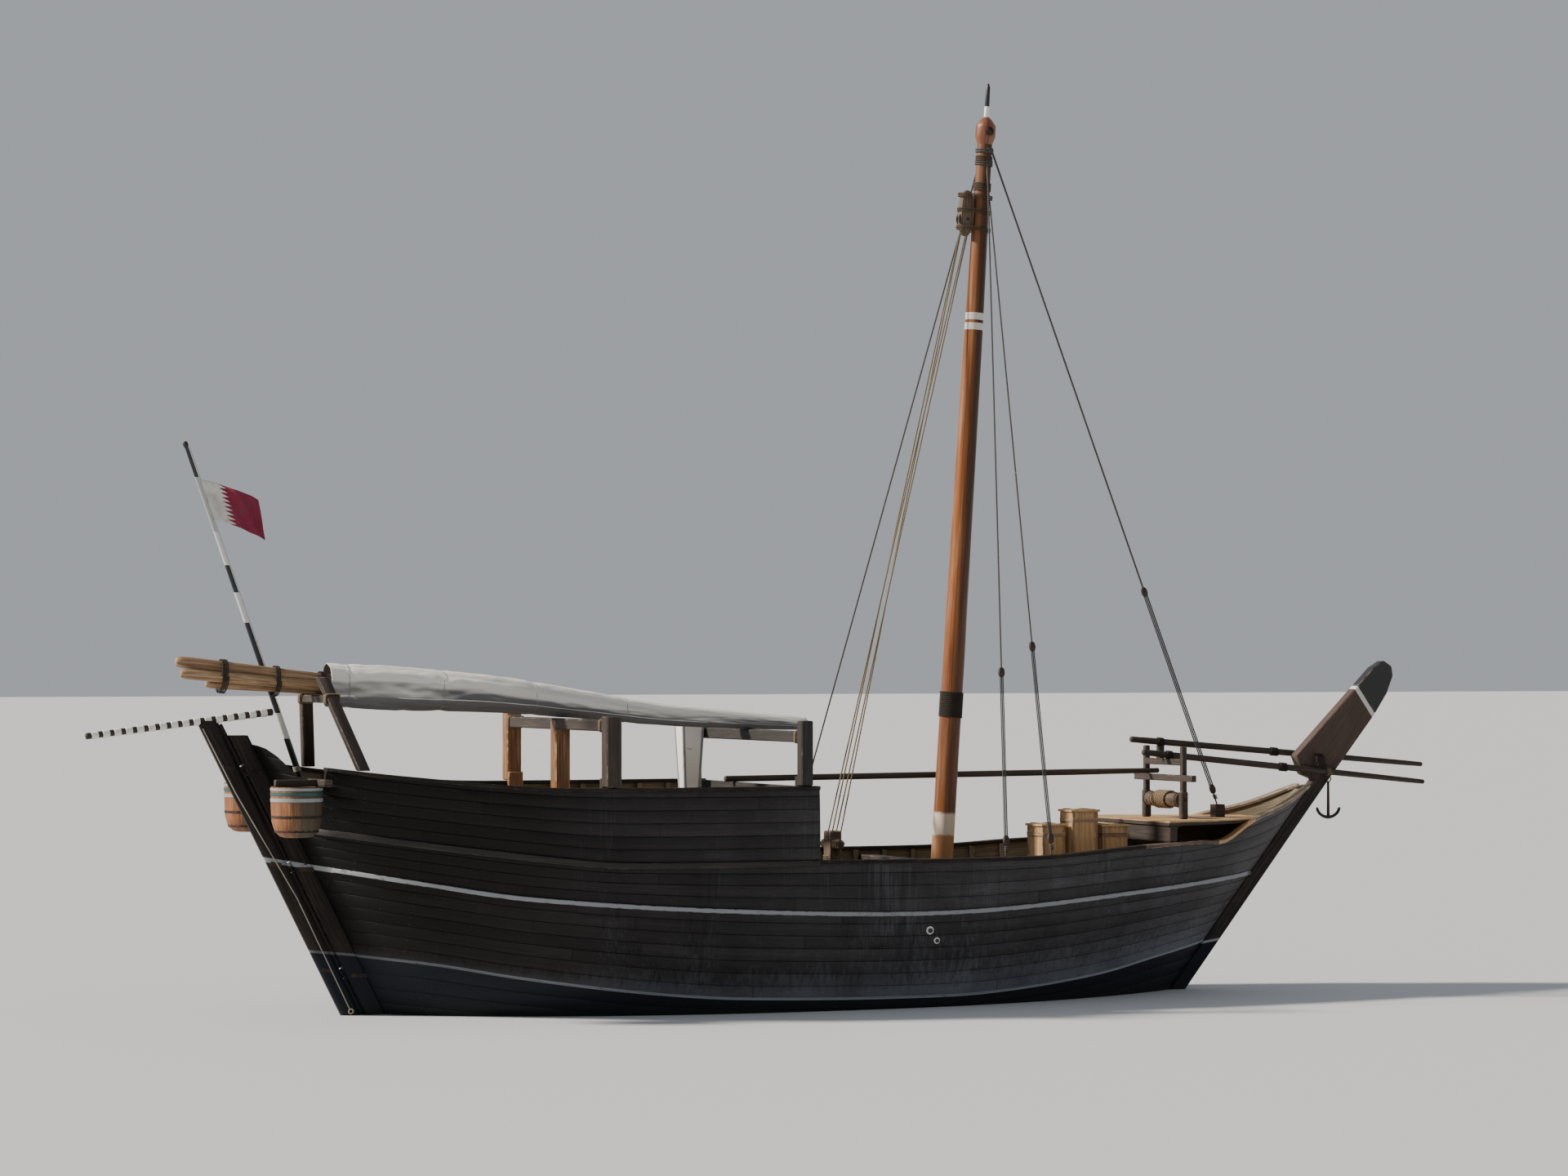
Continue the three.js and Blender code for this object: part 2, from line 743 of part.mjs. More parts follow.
// Halyard block on the after side of the mast, its tackle and the bitts that it leads to
const BLOCK = [12950, 13850];
const blockRadius = 175;
piece(
  "halyard_block",
  "dark_timber",
  onMast(box(-blockRadius - 300, -blockRadius + 20, -110, 110, ...BLOCK)).subtract(grownMast),
);
const BITTS_X = 1000;
const BITTS_HEAD = 3300;
piece(
  "halyard_bitts",
  "weathered_timber",
  join(
    box(BITTS_X - 130, BITTS_X + 130, -150, 150, MAIN_DECK + SEAT, BITTS_HEAD),
    box(BITTS_X - 70, BITTS_X + 70, -420, 420, BITTS_HEAD - 330, BITTS_HEAD - 190),
  ),
);
const [blockFootX, , blockFootZ] = mastPoint(BLOCK[0]);
piece(
  "halyard_tackle",
  "rope",
  rod([BITTS_X, 0, BITTS_HEAD - 60], [blockFootX - blockRadius - 150, 0, blockFootZ + 60], 60, 50, ROPE_SIDES)
    .subtract(box(-FAR, FAR, -FAR, FAR, -FAR, BITTS_HEAD + SEAT))
    .subtract(onMast(box(-900, 0, -400, 400, BLOCK[0] - SEAT, BLOCK[1]))),
);

// Yard, furled sail and the frames that carry them

// Furled sail by x: top, underside and half its width.
const BUNDLE = [
  { x: BUNDLE_AFT_X, top: 6600, under: 5740, half: 330 },
  { x: -8200, top: 6560, under: 5690, half: 370 },
  { x: -6300, top: 6390, under: 5660, half: 340 },
  { x: -4500, top: 6120, under: 5530, half: 300 },
  { x: -2600, top: 5820, under: 5370, half: 240 },
  { x: -700, top: 5640, under: 5300, half: 180 },
  { x: 420, top: 5520, under: 5270, half: 120 },
];
const BUNDLE_SIDES = 12;
const BUNDLE_FLAT = Math.cos(Math.PI / BUNDLE_SIDES);
// Height of the flat underside of the sail, less a seat, where the fore edge of a frame meets it.
function sailSeat(x) {
  return heightOn(BUNDLE.map((row) => [row.x, row.under]), x) - SEAT;
}
piece(
  "furled_sail",
  "sailcloth",
  loft(
    BUNDLE.map(({ x, top, under, half: wide }) =>
      Array.from({ length: BUNDLE_SIDES }, (_, i) => {
        const angle = (2 * Math.PI * (i + 0.5)) / BUNDLE_SIDES;
        const high = (top - under) / 2 / BUNDLE_FLAT;
        return [x, wide * Math.sin(angle), (top + under) / 2 + high * Math.cos(angle)];
      }),
    ),
  ),
);
// The yard is three spars lashed together: the after end of each as [x, y, z], and its radius.
const YARD_SPARS = [
  { aft: [-12200, 20, 6620], fore: [0, 6270], radius: 115 },
  { aft: [-12150, -130, 6400], fore: [-110, 6150], radius: 100 },
  { aft: [-11600, 130, 6210], fore: [130, 6080], radius: 90 },
];
const YARD_FORE_X = BUNDLE_AFT_X - SEAT;
piece(
  "yard",
  "bright_timber",
  join(
    ...YARD_SPARS.map(({ aft, fore, radius }) => rod(aft, [YARD_FORE_X, ...fore], radius)),
    loft(
      [-11300, -11120].map((x) => [
        [x, -190, 6180],
        [x, 190, 6180],
        [x, 190, 6560],
        [x, -190, 6560],
      ]),
    ),
  ).subtract(box(YARD_FORE_X, FAR, -FAR, FAR, -FAR, FAR)),
);

// Frames across the quarterdeck, each with two posts that stand on the rails and are held there by a cheek
// inside each rail: x, half the spread of the posts, their head and their thickness.
const CHEEK_HEAD = 4450;
function crossFrame({ x, spread, head, thick, middle }) {
  const [x0, x1] = [x - thick / 2, x + thick / 2];
  const bar = sailSeat(x1);
  const railInside = halfBreadth(x0, 4250) - RAIL_IN - 5;
  const railTop = Math.max(heightOn(QUARTER_RAIL, x0), heightOn(QUARTER_RAIL, x1)) + SEAT;
  const posts = SIDES.map(({ sign }) =>
    join(
      box(x0, x1, sign * spread - thick / 2, sign * spread + thick / 2, railTop, head),
      box(x0, x1, sign * (railInside - 55) - 55, sign * (railInside - 55) + 55, DECK_FOOT, CHEEK_HEAD),
    ),
  );
  const beam = box(x0, x1, -spread, spread, bar - 210, bar);
  const extra = middle ? [box(x0, x1, -thick / 2, thick / 2, DECK_FOOT, bar)] : [];
  return join(...posts, beam, ...extra);
}
const DECK_FOOT = QUARTER_DECK + SEAT;
const FORE_FRAME_X = -810;
const BREAST_BAR = 4260;
const BREAST_HALF = halfBreadth(FORE_FRAME_X, 4250) - RAIL_IN - 60;
piece(
  "mid_gallows",
  "bright_timber",
  crossFrame({ x: -4660, spread: 2770, head: 5600, thick: 300, middle: true }),
);
piece(
  "fore_gallows",
  "dark_timber",
  join(
    crossFrame({ x: FORE_FRAME_X, spread: 2880, head: 5500, thick: 240, middle: false }),
    box(FORE_FRAME_X - 60, FORE_FRAME_X + 60, -BREAST_HALF, BREAST_HALF, BREAST_BAR - 150, BREAST_BAR),
  ),
);
const AFT_FRAME_X = -9450;
const AFT_FRAME_HALF = 110;
const LEG_FOOT_X = -9120;
const LEG_HEAD_X = -9560;
const legFootY = halfBreadth(LEG_FOOT_X, 4600) - 60;
const legFootZ = heightOn(QUARTER_RAIL, LEG_FOOT_X - AFT_FRAME_HALF - 30) + SEAT;
const lowSpar = YARD_SPARS[2];
const lowSparLine = [
  [lowSpar.aft[0], lowSpar.aft[2]],
  [YARD_FORE_X, lowSpar.fore[1]],
];
const aftBar = heightOn(lowSparLine, AFT_FRAME_X + AFT_FRAME_HALF) - lowSpar.radius - 2 * SEAT;
piece(
  "aft_gallows",
  "dark_timber",
  join(
    box(AFT_FRAME_X - AFT_FRAME_HALF, AFT_FRAME_X + AFT_FRAME_HALF, -900, 900, aftBar - 145, aftBar),
    ...SIDES.map(({ sign }) =>
      loft(
        [
          [LEG_FOOT_X, legFootY, legFootZ - 60],
          [LEG_HEAD_X, legFootY * 0.3, 6330],
        ].map(([x, y, z]) => [
          [x - AFT_FRAME_HALF, sign * (y - 105), z],
          [x + AFT_FRAME_HALF, sign * (y - 105), z],
          [x + AFT_FRAME_HALF, sign * (y + 105), z],
          [x - AFT_FRAME_HALF, sign * (y + 105), z],
        ]),
      ),
    ),
  ).subtract(box(-FAR, FAR, -FAR, FAR, -FAR, legFootZ)),
);

// Stern gallery casks, hung from a beam across the stern
const CASK_X = -10350;
const CASK_Y = 1540;
const CASK_FOOT = 3400;
const CASK_HEAD = DIP_Z - SEAT;
const CASK_R = 475;
const CASK_WALL = 45;
const BEAM_TALL = 130;
piece(
  "cask_beam",
  "dark_timber",
  join(
    box(-9980, -9820, -2050, 2050, DIP_Z + SEAT, DIP_Z + BEAM_TALL),
    ...SIDES.map(({ sign }) =>
      box(CASK_X - 420, -9900, sign * CASK_Y - 60, sign * CASK_Y + 60, DIP_Z + SEAT, DIP_Z + BEAM_TALL),
    ),
  ),
);
for (const { word, sign } of SIDES) {
  piece(
    "stern_cask_" + word,
    "bright_timber",
    turned([
      [0, CASK_FOOT],
      [250, CASK_FOOT],
      [400, CASK_FOOT + 110],
      [460, CASK_FOOT + 300],
      [CASK_R, CASK_HEAD],
      [CASK_R - CASK_WALL, CASK_HEAD],
      [460 - CASK_WALL, CASK_FOOT + 320],
      [240, CASK_FOOT + 70],
      [0, CASK_FOOT + 70],
    ]).translate([CASK_X, sign * CASK_Y, 0]),
  );
}

// Ensign staff and ensign
const STAFF_FOOT = [-9450, 350, QUARTER_DECK];
const STAFF_HEAD = [-11950, 350, 10700];
const STAFF_R = [60, 35];
piece(
  "ensign_staff",
  "white_paint",
  rod(STAFF_FOOT, STAFF_HEAD, ...STAFF_R).subtract(box(-FAR, FAR, -FAR, FAR, -FAR, QUARTER_DECK + SEAT)),
);
const HOIST = [10000, 9250];
const FLY = 1150;
const DROOP = 380;
const FLAG_THICK = 26;
// A point of the ensign: u runs along the fly and v down the hoist, both from 0 to 1.
function flagPoint(u, v) {
  const z = mix(HOIST[0], HOIST[1], v);
  const up = (z - STAFF_FOOT[2]) / (STAFF_HEAD[2] - STAFF_FOOT[2]);
  const x = mix(STAFF_FOOT[0], STAFF_HEAD[0], up) + mix(STAFF_R[0], STAFF_R[1], up) * 1.06 + SEAT;
  const swing = 75 * Math.sin(7.5 * u) * Math.min(1, 3 * u);
  return [x + FLY * u * (1 - 0.12 * v), STAFF_FOOT[1] + swing, z - DROOP * u ** 1.4];
}
piece(
  "ensign",
  "flag_cloth",
  loft(
    Array.from({ length: 13 }, (_, i) => i / 12).map((u) => {
      const [top, foot] = [flagPoint(u, 0), flagPoint(u, 1)];
      const offset = FLAG_THICK / 2;
      return [
        [foot[0], foot[1] - offset, foot[2]],
        [foot[0], foot[1] + offset, foot[2]],
        [top[0], top[1] + offset, top[2]],
        [top[0], top[1] - offset, top[2]],
      ];
    }),
  ),
);

// Bow frame, windlass, bow spars, anchor and spare spar
const BOW_FRAME_X = 8300;
const BOW_FRAME_Y = 800;
const DRUM_Z = 3830;
const PIN_R = 40;
const BITT_HEAD = 4000;
const UPPER_BAR = 4650;
const LOWER_BAR = 4330;
const BAR_HALF = 60;
const BOW_SPAR_R = 65;
const CHOCK_HEAD = 4910;
// Bow spars: the height of the bar or chock that each rests on, its after end's x and its fore end.
const BOW_SPARS = [
  { word: "starboard", sign: -1, seat: UPPER_BAR, aftX: 7700, fore: [14200, 4120] },
  { word: "port", sign: 1, seat: CHOCK_HEAD, aftX: 7620, fore: [14380, 4470] },
];
function bowSparLine({ seat, fore }) {
  return [[BOW_FRAME_X + BAR_HALF, seat + BOW_SPAR_R + 2 * SEAT], fore];
}
// A length of one post of the bow frame: its side, half its thickness, its foot and its head.
function bowPost(sign, thick, foot, head) {
  const y = sign * BOW_FRAME_Y;
  return box(BOW_FRAME_X - thick, BOW_FRAME_X + thick, y - thick, y + thick, foot, head);
}
piece(
  "bow_frame",
  "dark_timber",
  join(
    ...SIDES.flatMap(({ sign }) => [bowPost(sign, 75, FOREDECK + SEAT, BITT_HEAD), bowPost(sign, 55, 3900, 4900)]),
    box(BOW_FRAME_X - BAR_HALF, BOW_FRAME_X + BAR_HALF, -1250, 1250, LOWER_BAR - 130, LOWER_BAR),
    box(BOW_FRAME_X - BAR_HALF, BOW_FRAME_X + BAR_HALF, -800, 800, UPPER_BAR - 130, UPPER_BAR),
    box(BOW_FRAME_X - BAR_HALF, BOW_FRAME_X + BAR_HALF, 120, 270, UPPER_BAR - 60, CHOCK_HEAD),
  ).subtract(rod([BOW_FRAME_X, -2000, DRUM_Z], [BOW_FRAME_X, 2000, DRUM_Z], PIN_R + 0.7, PIN_R + 0.7, 24)),
);
const DRUM_HALF = BOW_FRAME_Y - 75 - 6;
piece(
  "windlass_drum",
  "weathered_timber",
  join(
    rod([BOW_FRAME_X, -DRUM_HALF, DRUM_Z], [BOW_FRAME_X, DRUM_HALF, DRUM_Z], 150, 150, 12),
    rod([BOW_FRAME_X, -BOW_FRAME_Y - 80, DRUM_Z], [BOW_FRAME_X, BOW_FRAME_Y + 80, DRUM_Z], PIN_R, PIN_R, 24),
  ),
);
const BOW_SPAR_Y = POST_HALF + BOW_SPAR_R + SEAT;
for (const spar of BOW_SPARS) {
  const aftZ = heightOn(bowSparLine(spar), spar.aftX);
  const y = spar.sign * BOW_SPAR_Y;
  piece(
    "bow_spar_" + spar.word,
    "dark_timber",
    rod([spar.aftX, y, aftZ], [spar.fore[0], y, spar.fore[1]], BOW_SPAR_R),
  );
}
// The spare spar rests on the breast bar of the fore gallows and on the lower bar of the bow frame.
const SPARE_R = 62;
const SPARE_Y = 560;
const SPARE_SEATS = [
  [FORE_FRAME_X - 60, BREAST_BAR + SPARE_R + 0.4],
  [BOW_FRAME_X - 60, LOWER_BAR + SPARE_R + 0.4],
];
const [spareAft, spareFore] = [-1050, BOW_FRAME_X + 150].map((x) => [x, SPARE_Y, heightOn(SPARE_SEATS, x)]);
piece("spare_spar", "dark_timber", rod(spareAft, spareFore, SPARE_R));
// The grapnel hangs by its ring under the starboard bow spar.
const ANCHOR_X = 11950;
const ANCHOR_Y = -BOW_SPAR_Y;
const ANCHOR_TALL = 881;
const ANCHOR_FOOT = heightOn(bowSparLine(BOW_SPARS[0]), ANCHOR_X) - BOW_SPAR_R - ANCHOR_TALL - 2 * SEAT;
piece(
  "anchor",
  "iron",
  join(
    rod([ANCHOR_X, ANCHOR_Y, ANCHOR_FOOT], [ANCHOR_X, ANCHOR_Y, ANCHOR_FOOT + 760], 32, 24, 8),
    ...[0, 1, 2, 3].map((i) => {
      const angle = (Math.PI * (2 * i + 1)) / 4;
      const reach = [Math.cos(angle) * 60, Math.sin(angle) * 60];
      return rod(
        [ANCHOR_X, ANCHOR_Y, ANCHOR_FOOT + 20],
        [ANCHOR_X + reach[0] * 6, ANCHOR_Y + reach[1] * 0.6, ANCHOR_FOOT + 240],
        40,
        18,
        8,
      );
    }),
    solid(
      new THREE.TorusGeometry(60, 12, 8, 16)
        .rotateX(Math.PI / 2)
        .translate(ANCHOR_X, ANCHOR_Y, ANCHOR_FOOT + 810),
    ),
  ),
);

// Deck furniture in the waist and on the quarterdeck

// Boxes on the main deck: name, x and y ranges and height, each with a lid that overhangs by a little.
const DECK_BOXES = [
  { name: "water_tank", x: [5000, 5500], y: [-1150, -450], head: 3420 },
  { name: "cook_box", x: [5600, 6170], y: [-1250, -700], head: 3700 },
  { name: "gear_locker", x: [6270, 6820], y: [-1250, 250], head: 3400 },
];
for (const { name, x, y, head } of DECK_BOXES) {
  piece(
    name,
    "box_timber",
    join(
      box(...x, ...y, MAIN_DECK + SEAT, head - 50),
      box(x[0] - 30, x[1] + 30, y[0] - 30, y[1] + 30, head - 60, head),
    ),
  );
}
const TRUNK_X = -1180;
const TRUNK_Y = 2100;
const TRUNK_HEAD = 5380;
piece(
  "vent_trunk",
  "white_paint",
  loft(
    [
      [QUARTER_DECK + SEAT, 150],
      [TRUNK_HEAD, 235],
    ].map(([z, wide]) => [
      [TRUNK_X - wide, TRUNK_Y - wide, z],
      [TRUNK_X + wide, TRUNK_Y - wide, z],
      [TRUNK_X + wide, TRUNK_Y + wide, z],
      [TRUNK_X - wide, TRUNK_Y + wide, z],
    ]),
  ),
);

export default dhow;
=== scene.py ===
import math
import random

import bmesh
import bpy
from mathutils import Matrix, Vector, noise


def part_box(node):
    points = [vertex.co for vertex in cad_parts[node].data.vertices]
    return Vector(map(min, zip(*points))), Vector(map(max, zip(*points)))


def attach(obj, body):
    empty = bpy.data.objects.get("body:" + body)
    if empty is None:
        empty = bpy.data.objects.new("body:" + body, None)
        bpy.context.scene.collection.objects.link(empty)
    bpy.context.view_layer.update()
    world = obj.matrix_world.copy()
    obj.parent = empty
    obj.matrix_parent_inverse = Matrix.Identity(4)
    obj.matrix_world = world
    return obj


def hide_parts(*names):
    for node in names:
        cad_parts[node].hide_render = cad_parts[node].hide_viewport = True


# The looks of a double-ended wooden trading dhow, afloat with her yard lowered and her sail furled.
# Metres: +X runs to the bow, +Y to port and +Z up, and the water lies at z = 0.

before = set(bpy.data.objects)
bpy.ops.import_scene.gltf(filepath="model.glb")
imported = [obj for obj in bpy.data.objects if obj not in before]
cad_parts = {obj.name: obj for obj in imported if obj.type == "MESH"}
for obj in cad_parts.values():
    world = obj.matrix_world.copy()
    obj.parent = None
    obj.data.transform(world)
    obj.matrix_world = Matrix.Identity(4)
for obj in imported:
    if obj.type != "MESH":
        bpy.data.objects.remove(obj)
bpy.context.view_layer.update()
random.seed(5)

# Camera, light and floor

EYE = (-35.0, -83.1, 6.8)
AIM = (-0.03, 0.0, 8.04)
LENS = 106.3
SUN_FROM, SUN_POWER, SKY_POWER = (-0.88, 0.34, 0.56), 7.0, 0.44
FLOOR_HALF = 600.0


def linked(name, data):
    made = bpy.data.objects.new(name, data)
    bpy.context.scene.collection.objects.link(made)
    return made


def make_camera():
    camera = linked("camera", bpy.data.cameras.new("camera"))
    camera.location = EYE
    camera.rotation_euler = (Vector(AIM) - Vector(EYE)).to_track_quat("-Z", "Y").to_euler()
    camera.data.lens = LENS
    camera.data.clip_start, camera.data.clip_end = 1.0, 2000.0
    bpy.context.scene.camera = camera


def make_light():
    world = bpy.data.worlds.new("studio")
    world.use_nodes = True
    sky = world.node_tree.nodes["Background"]
    sky.inputs["Color"].default_value = (0.86, 0.9, 0.96, 1)
    sky.inputs["Strength"].default_value = SKY_POWER
    bpy.context.scene.world = world
    sun = bpy.data.lights.new("key", "SUN")
    sun.energy, sun.angle, sun.color = SUN_POWER, math.radians(6), (1.0, 0.92, 0.82)
    linked("key", sun).rotation_euler = Vector(SUN_FROM).to_track_quat("Z", "Y").to_euler()


def make_floor():
    mesh = bpy.data.meshes.new("floor")
    half = FLOOR_HALF
    corners = [(-half, -half, 0), (half, -half, 0), (half, half, 0), (-half, half, 0)]
    mesh.from_pydata(corners, [], [(0, 1, 2, 3)])
    paint = bpy.data.materials.new("floor")
    paint.use_nodes = True
    skin = paint.node_tree.nodes["Principled BSDF"]
    skin.inputs["Base Color"].default_value = (0.6, 0.61, 0.625, 1)
    skin.inputs["Roughness"].default_value = 0.85
    mesh.materials.append(paint)
    linked("floor", mesh)


make_camera()
make_light()
make_floor()

# Shader helpers


class Wire:
    """A value on its way from one node to the next, which can be added to and scaled like a number."""

    def __init__(self, tree, socket):
        self.tree, self.socket = tree, socket

    def __add__(self, other):
        return calc("ADD", self, other)

    def __sub__(self, other):
        return calc("SUBTRACT", self, other)

    def __rsub__(self, other):
        return calc("SUBTRACT", other, self)

    def __mul__(self, other):
        return calc("MULTIPLY", self, other)

    def __truediv__(self, other):
        return calc("DIVIDE", self, other)

    def __rtruediv__(self, other):
        return calc("DIVIDE", other, self)


def feed(node, inputs):
    """Feeds a node's inputs from values or from wires."""
    for key, value in inputs.items():
        if isinstance(value, Wire):
            value.tree.links.new(value.socket, node.inputs[key])
        else:
            node.inputs[key].default_value = value


def put(tree, kind, inputs=None, out=0, **settings):
    """Adds one node, sets it, feeds it, and hands back one of its outputs."""
    made = tree.nodes.new(kind)
    for name, value in settings.items():
        setattr(made, name, value)
    feed(made, inputs or {})
    return Wire(tree, made.outputs[out])


def wires_of(tree, node):
    return {socket.name: Wire(tree, socket) for socket in node.outputs if socket.name}


def calc(operation, *values, clamp=False):
    tree = next(value.tree for value in values if isinstance(value, Wire))
    return put(tree, "ShaderNodeMath", dict(enumerate(values)), operation=operation, use_clamp=clamp)


def product(first, second):
    return put(first.tree, "ShaderNodeVectorMath", {0: first, 1: second}, operation="MULTIPLY")


def cloud(vector, scale=1.0, detail=3.0, rough=0.55, twist=0.0):
    sockets = {"Vector": vector, "Scale": scale, "Detail": detail, "Roughness": rough, "Distortion": twist}
    return put(vector.tree, "ShaderNodeTexNoise", sockets)


def span(value, low, high, to_low=0.0, to_high=1.0):
    """Brings a value from one range into another, held at both ends."""
    return put(value.tree, "ShaderNodeMapRange", {0: value, 1: low, 2: high, 3: to_low, 4: to_high})


def stripe_at(off, half, soft, share=1.0):
    """A stripe of a half width with soft edges, where off is how far a place lies from its middle."""
    return span(calc("ABSOLUTE", off), half, half + soft, share, 0.0)


def rgb(colour):
    """A colour as nodes take it, whether it is three numbers or comes by wire."""
    return colour if isinstance(colour, Wire) else (*colour, 1.0)


def shade(share, first, second):
    """A colour between two others."""
    return put(share.tree, "ShaderNodeMix", {0: share, 6: rgb(first), 7: rgb(second)}, 2, data_type="RGBA")


def ramp(value, places, colours, blend="LINEAR"):
    """Colours along a value from 0 to 1, each at its place."""
    made = value.tree.nodes.new("ShaderNodeValToRGB")
    feed(made, {0: value})
    band = made.color_ramp
    band.interpolation = blend
    while len(band.elements) < len(places):
        band.elements.new(0.5)
    for element, place, colour in zip(band.elements, places, colours):
        element.position, element.color = place, rgb(colour)
    return Wire(value.tree, made.outputs[0])


def parts_of(vector):
    """X, Y and Z of a vector."""
    made = vector.tree.nodes.new("ShaderNodeSeparateXYZ")
    feed(made, {0: vector})
    return [Wire(vector.tree, socket) for socket in made.outputs]


def vector_of(x, y=0.0, z=0.0):
    return put(x.tree, "ShaderNodeCombineXYZ", {0: x, 1: y, 2: z})


def build_group(name, inputs, fill):
    """A shader group with named inputs, where None stands for a vector, and its fill's named outputs."""
    tree = bpy.data.node_groups.new(name, "ShaderNodeTree")
    for label, value in inputs.items():
        kind = "NodeSocketVector" if value is None else "NodeSocketFloat"
        socket = tree.interface.new_socket(label, in_out="INPUT", socket_type=kind)
        if value is not None:
            socket.default_value = value
    results = fill(wires_of(tree, tree.nodes.new("NodeGroupInput")))
    for label in results:
        tree.interface.new_socket(label, in_out="OUTPUT", socket_type="NodeSocketFloat")
    feed(tree.nodes.new("NodeGroupOutput"), results)


def use(name, **inputs):
    """Puts in a group by its name and feeds its named inputs."""
    tree = next(value.tree for value in inputs.values() if isinstance(value, Wire))
    made = tree.nodes.new("ShaderNodeGroup")
    made.node_tree = bpy.data.node_groups[name]
    feed(made, inputs)
    return wires_of(tree, made)


# Effects that several finishes share


def fill_wood_grain(given):
    size = vector_of(given["Length"], given["Width"], given["Width"])
    place = put(size.tree, "ShaderNodeVectorMath", {0: given["Vector"], 1: size}, operation="DIVIDE")
    return {"Figure": cloud(place, 1.0, 2.0, 0.5, 1.4), "Fibre": cloud(place, 7.0, 5.0, 0.7)}


def fill_plank_seams(given):
    """Seams between planks, whose butts are staggered by chance, and a tint of each plank's own."""
    across = given["Across"]
    number = calc("FLOOR", across)
    place = calc("FRACT", across)
    first = put(across.tree, "ShaderNodeTexWhiteNoise", {"W": number}, noise_dimensions="1D")
    run = given["Along"] / given["Length"] + first * 7.0
    end = calc("FRACT", run) * given["Length"]
    butt = span(calc("ABSOLUTE", end - 0.02), 0.0, given["Butt"], 1.0, 0.0)
    seam = span(calc("MINIMUM", place, 1.0 - place), 0.0, given["Seam"], 1.0, 0.0)
    which = vector_of(number, calc("FLOOR", run))
    tint = put(across.tree, "ShaderNodeTexWhiteNoise", {"Vector": which}, noise_dimensions="2D")
    return {"Seam": calc("MAXIMUM", seam, butt), "Tint": tint}


def fill_rain_runs(given):
    narrow = 1.0 / given["Width"]
    place = product(given["Vector"], vector_of(narrow, narrow, 1.0 / given["Drop"]))
    fine = cloud(place, 1.0, 4.0, 0.6)
    broad = cloud(product(given["Vector"], (0.9, 0.9, 0.25)), 1.0, 2.0, 0.5)
    low = 0.82 - given["Amount"] * 0.4
    return {"Runs": span(fine + (broad - 0.5) * 0.9, low, low + 0.22)}


def fill_edge_wear(given):
    low = 0.75 - given["Amount"] * 0.5
    patch = span(cloud(given["Vector"], 5.0, 4.0, 0.65), low, low + 0.12)
    return {"Wear": patch * given["Edge"]}


def fill_paint_chips(given):
    size = 1.0 / given["Size"]
    rough = cloud(product(given["Vector"], vector_of(size * 0.35, size, size)), 1.0, 6.0, 0.7, 0.4)
    low = 0.78 - given["Amount"] * 0.4
    return {"Bare": span(rough, low, low + 0.03)}


def fill_grime(given):
    broad = cloud(given["Vector"], 1.0 / given["Size"], 5.0, 0.62, 0.3)
    return {"Dirt": span(broad, 0.38, 0.72) * given["Amount"]}


SEAM_INPUTS = {"Across": 0.0, "Along": 0.0, "Length": 4.5, "Seam": 0.05, "Butt": 0.012}
build_group("wood_grain", {"Vector": None, "Length": 1.2, "Width": 0.08}, fill_wood_grain)
build_group("plank_seams", SEAM_INPUTS, fill_plank_seams)
build_group("rain_runs", {"Vector": None, "Width": 0.06, "Drop": 1.5, "Amount": 0.5}, fill_rain_runs)
build_group("edge_wear", {"Vector": None, "Edge": 0.0, "Amount": 0.5}, fill_edge_wear)
build_group("paint_chips", {"Vector": None, "Size": 0.08, "Amount": 0.5}, fill_paint_chips)
build_group("grime", {"Vector": None, "Size": 0.6, "Amount": 0.5}, fill_grime)

# Finishes

FINISH = {}
# How much old tarred timber and varnish shine.
DULL, VARNISHED = 0.14, 0.3
# Where the deep, middle and pale colours of timber lie in its figure, and those of a plank in its tint.
WOOD_STOPS, MAST_STOPS, PLANK_STOPS = (0.3, 0.52, 0.74), (0.3, 0.5, 0.74), (0.15, 0.55, 0.9)


class Look:
    """A finish in the making: its shader, the piece's own map, its place and its colour so far."""

    def __init__(self, name, shine=None):
        made = bpy.data.materials.new(name)
        made.use_nodes = True
        FINISH[name] = made
        self.tree = made.node_tree
        self.skin = self.tree.nodes["Principled BSDF"]
        if shine is not None:
            feed(self.skin, {"Specular IOR Level": shine})
        self.own = put(self.tree, "ShaderNodeUVMap", uv_map="UVMap")
        self.place = put(self.tree, "ShaderNodeTexCoord", out="Object")
        self.colour = None

    def mark(self, name):
        """A mark that the mesh carries."""
        return put(self.tree, "ShaderNodeAttribute", out="Fac", attribute_name=name)

    def wood(self, length, width, colours, places=WOOD_STOPS):
        """Starts from timber, its figure so long and wide, and gives its fibres."""
        grain = use("wood_grain", Vector=self.own, Length=length, Width=width)
        self.colour = ramp(grain["Figure"], places, colours)
        return grain["Fibre"]

    def coat(self, share, colour):
        """Lays a share of a colour over the rest."""
        self.colour = shade(share, self.colour, colour)

    def grime(self, size, amount):
        return use("grime", Vector=self.place, Size=size, Amount=amount)["Dirt"]

    def scuffs(self, amount):
        return use("edge_wear", Vector=self.place, Edge=self.mark("edge"), Amount=amount)["Wear"]

    def runs(self, width, drop, amount):
        return use("rain_runs", Vector=self.place, Width=width, Drop=drop, Amount=amount)["Runs"]

    def chips(self, size, amount):
        return use("paint_chips", Vector=self.place, Size=size, Amount=amount)["Bare"]

    def end(self, rough, height, relief):
        """Joins colour, roughness and relief to the shader. relief is in metres."""
        bump = put(self.tree, "ShaderNodeBump", {"Height": height, "Distance": relief, "Strength": 1.0})
        feed(self.skin, {"Base Color": self.colour, "Roughness": rough, "Normal": bump})


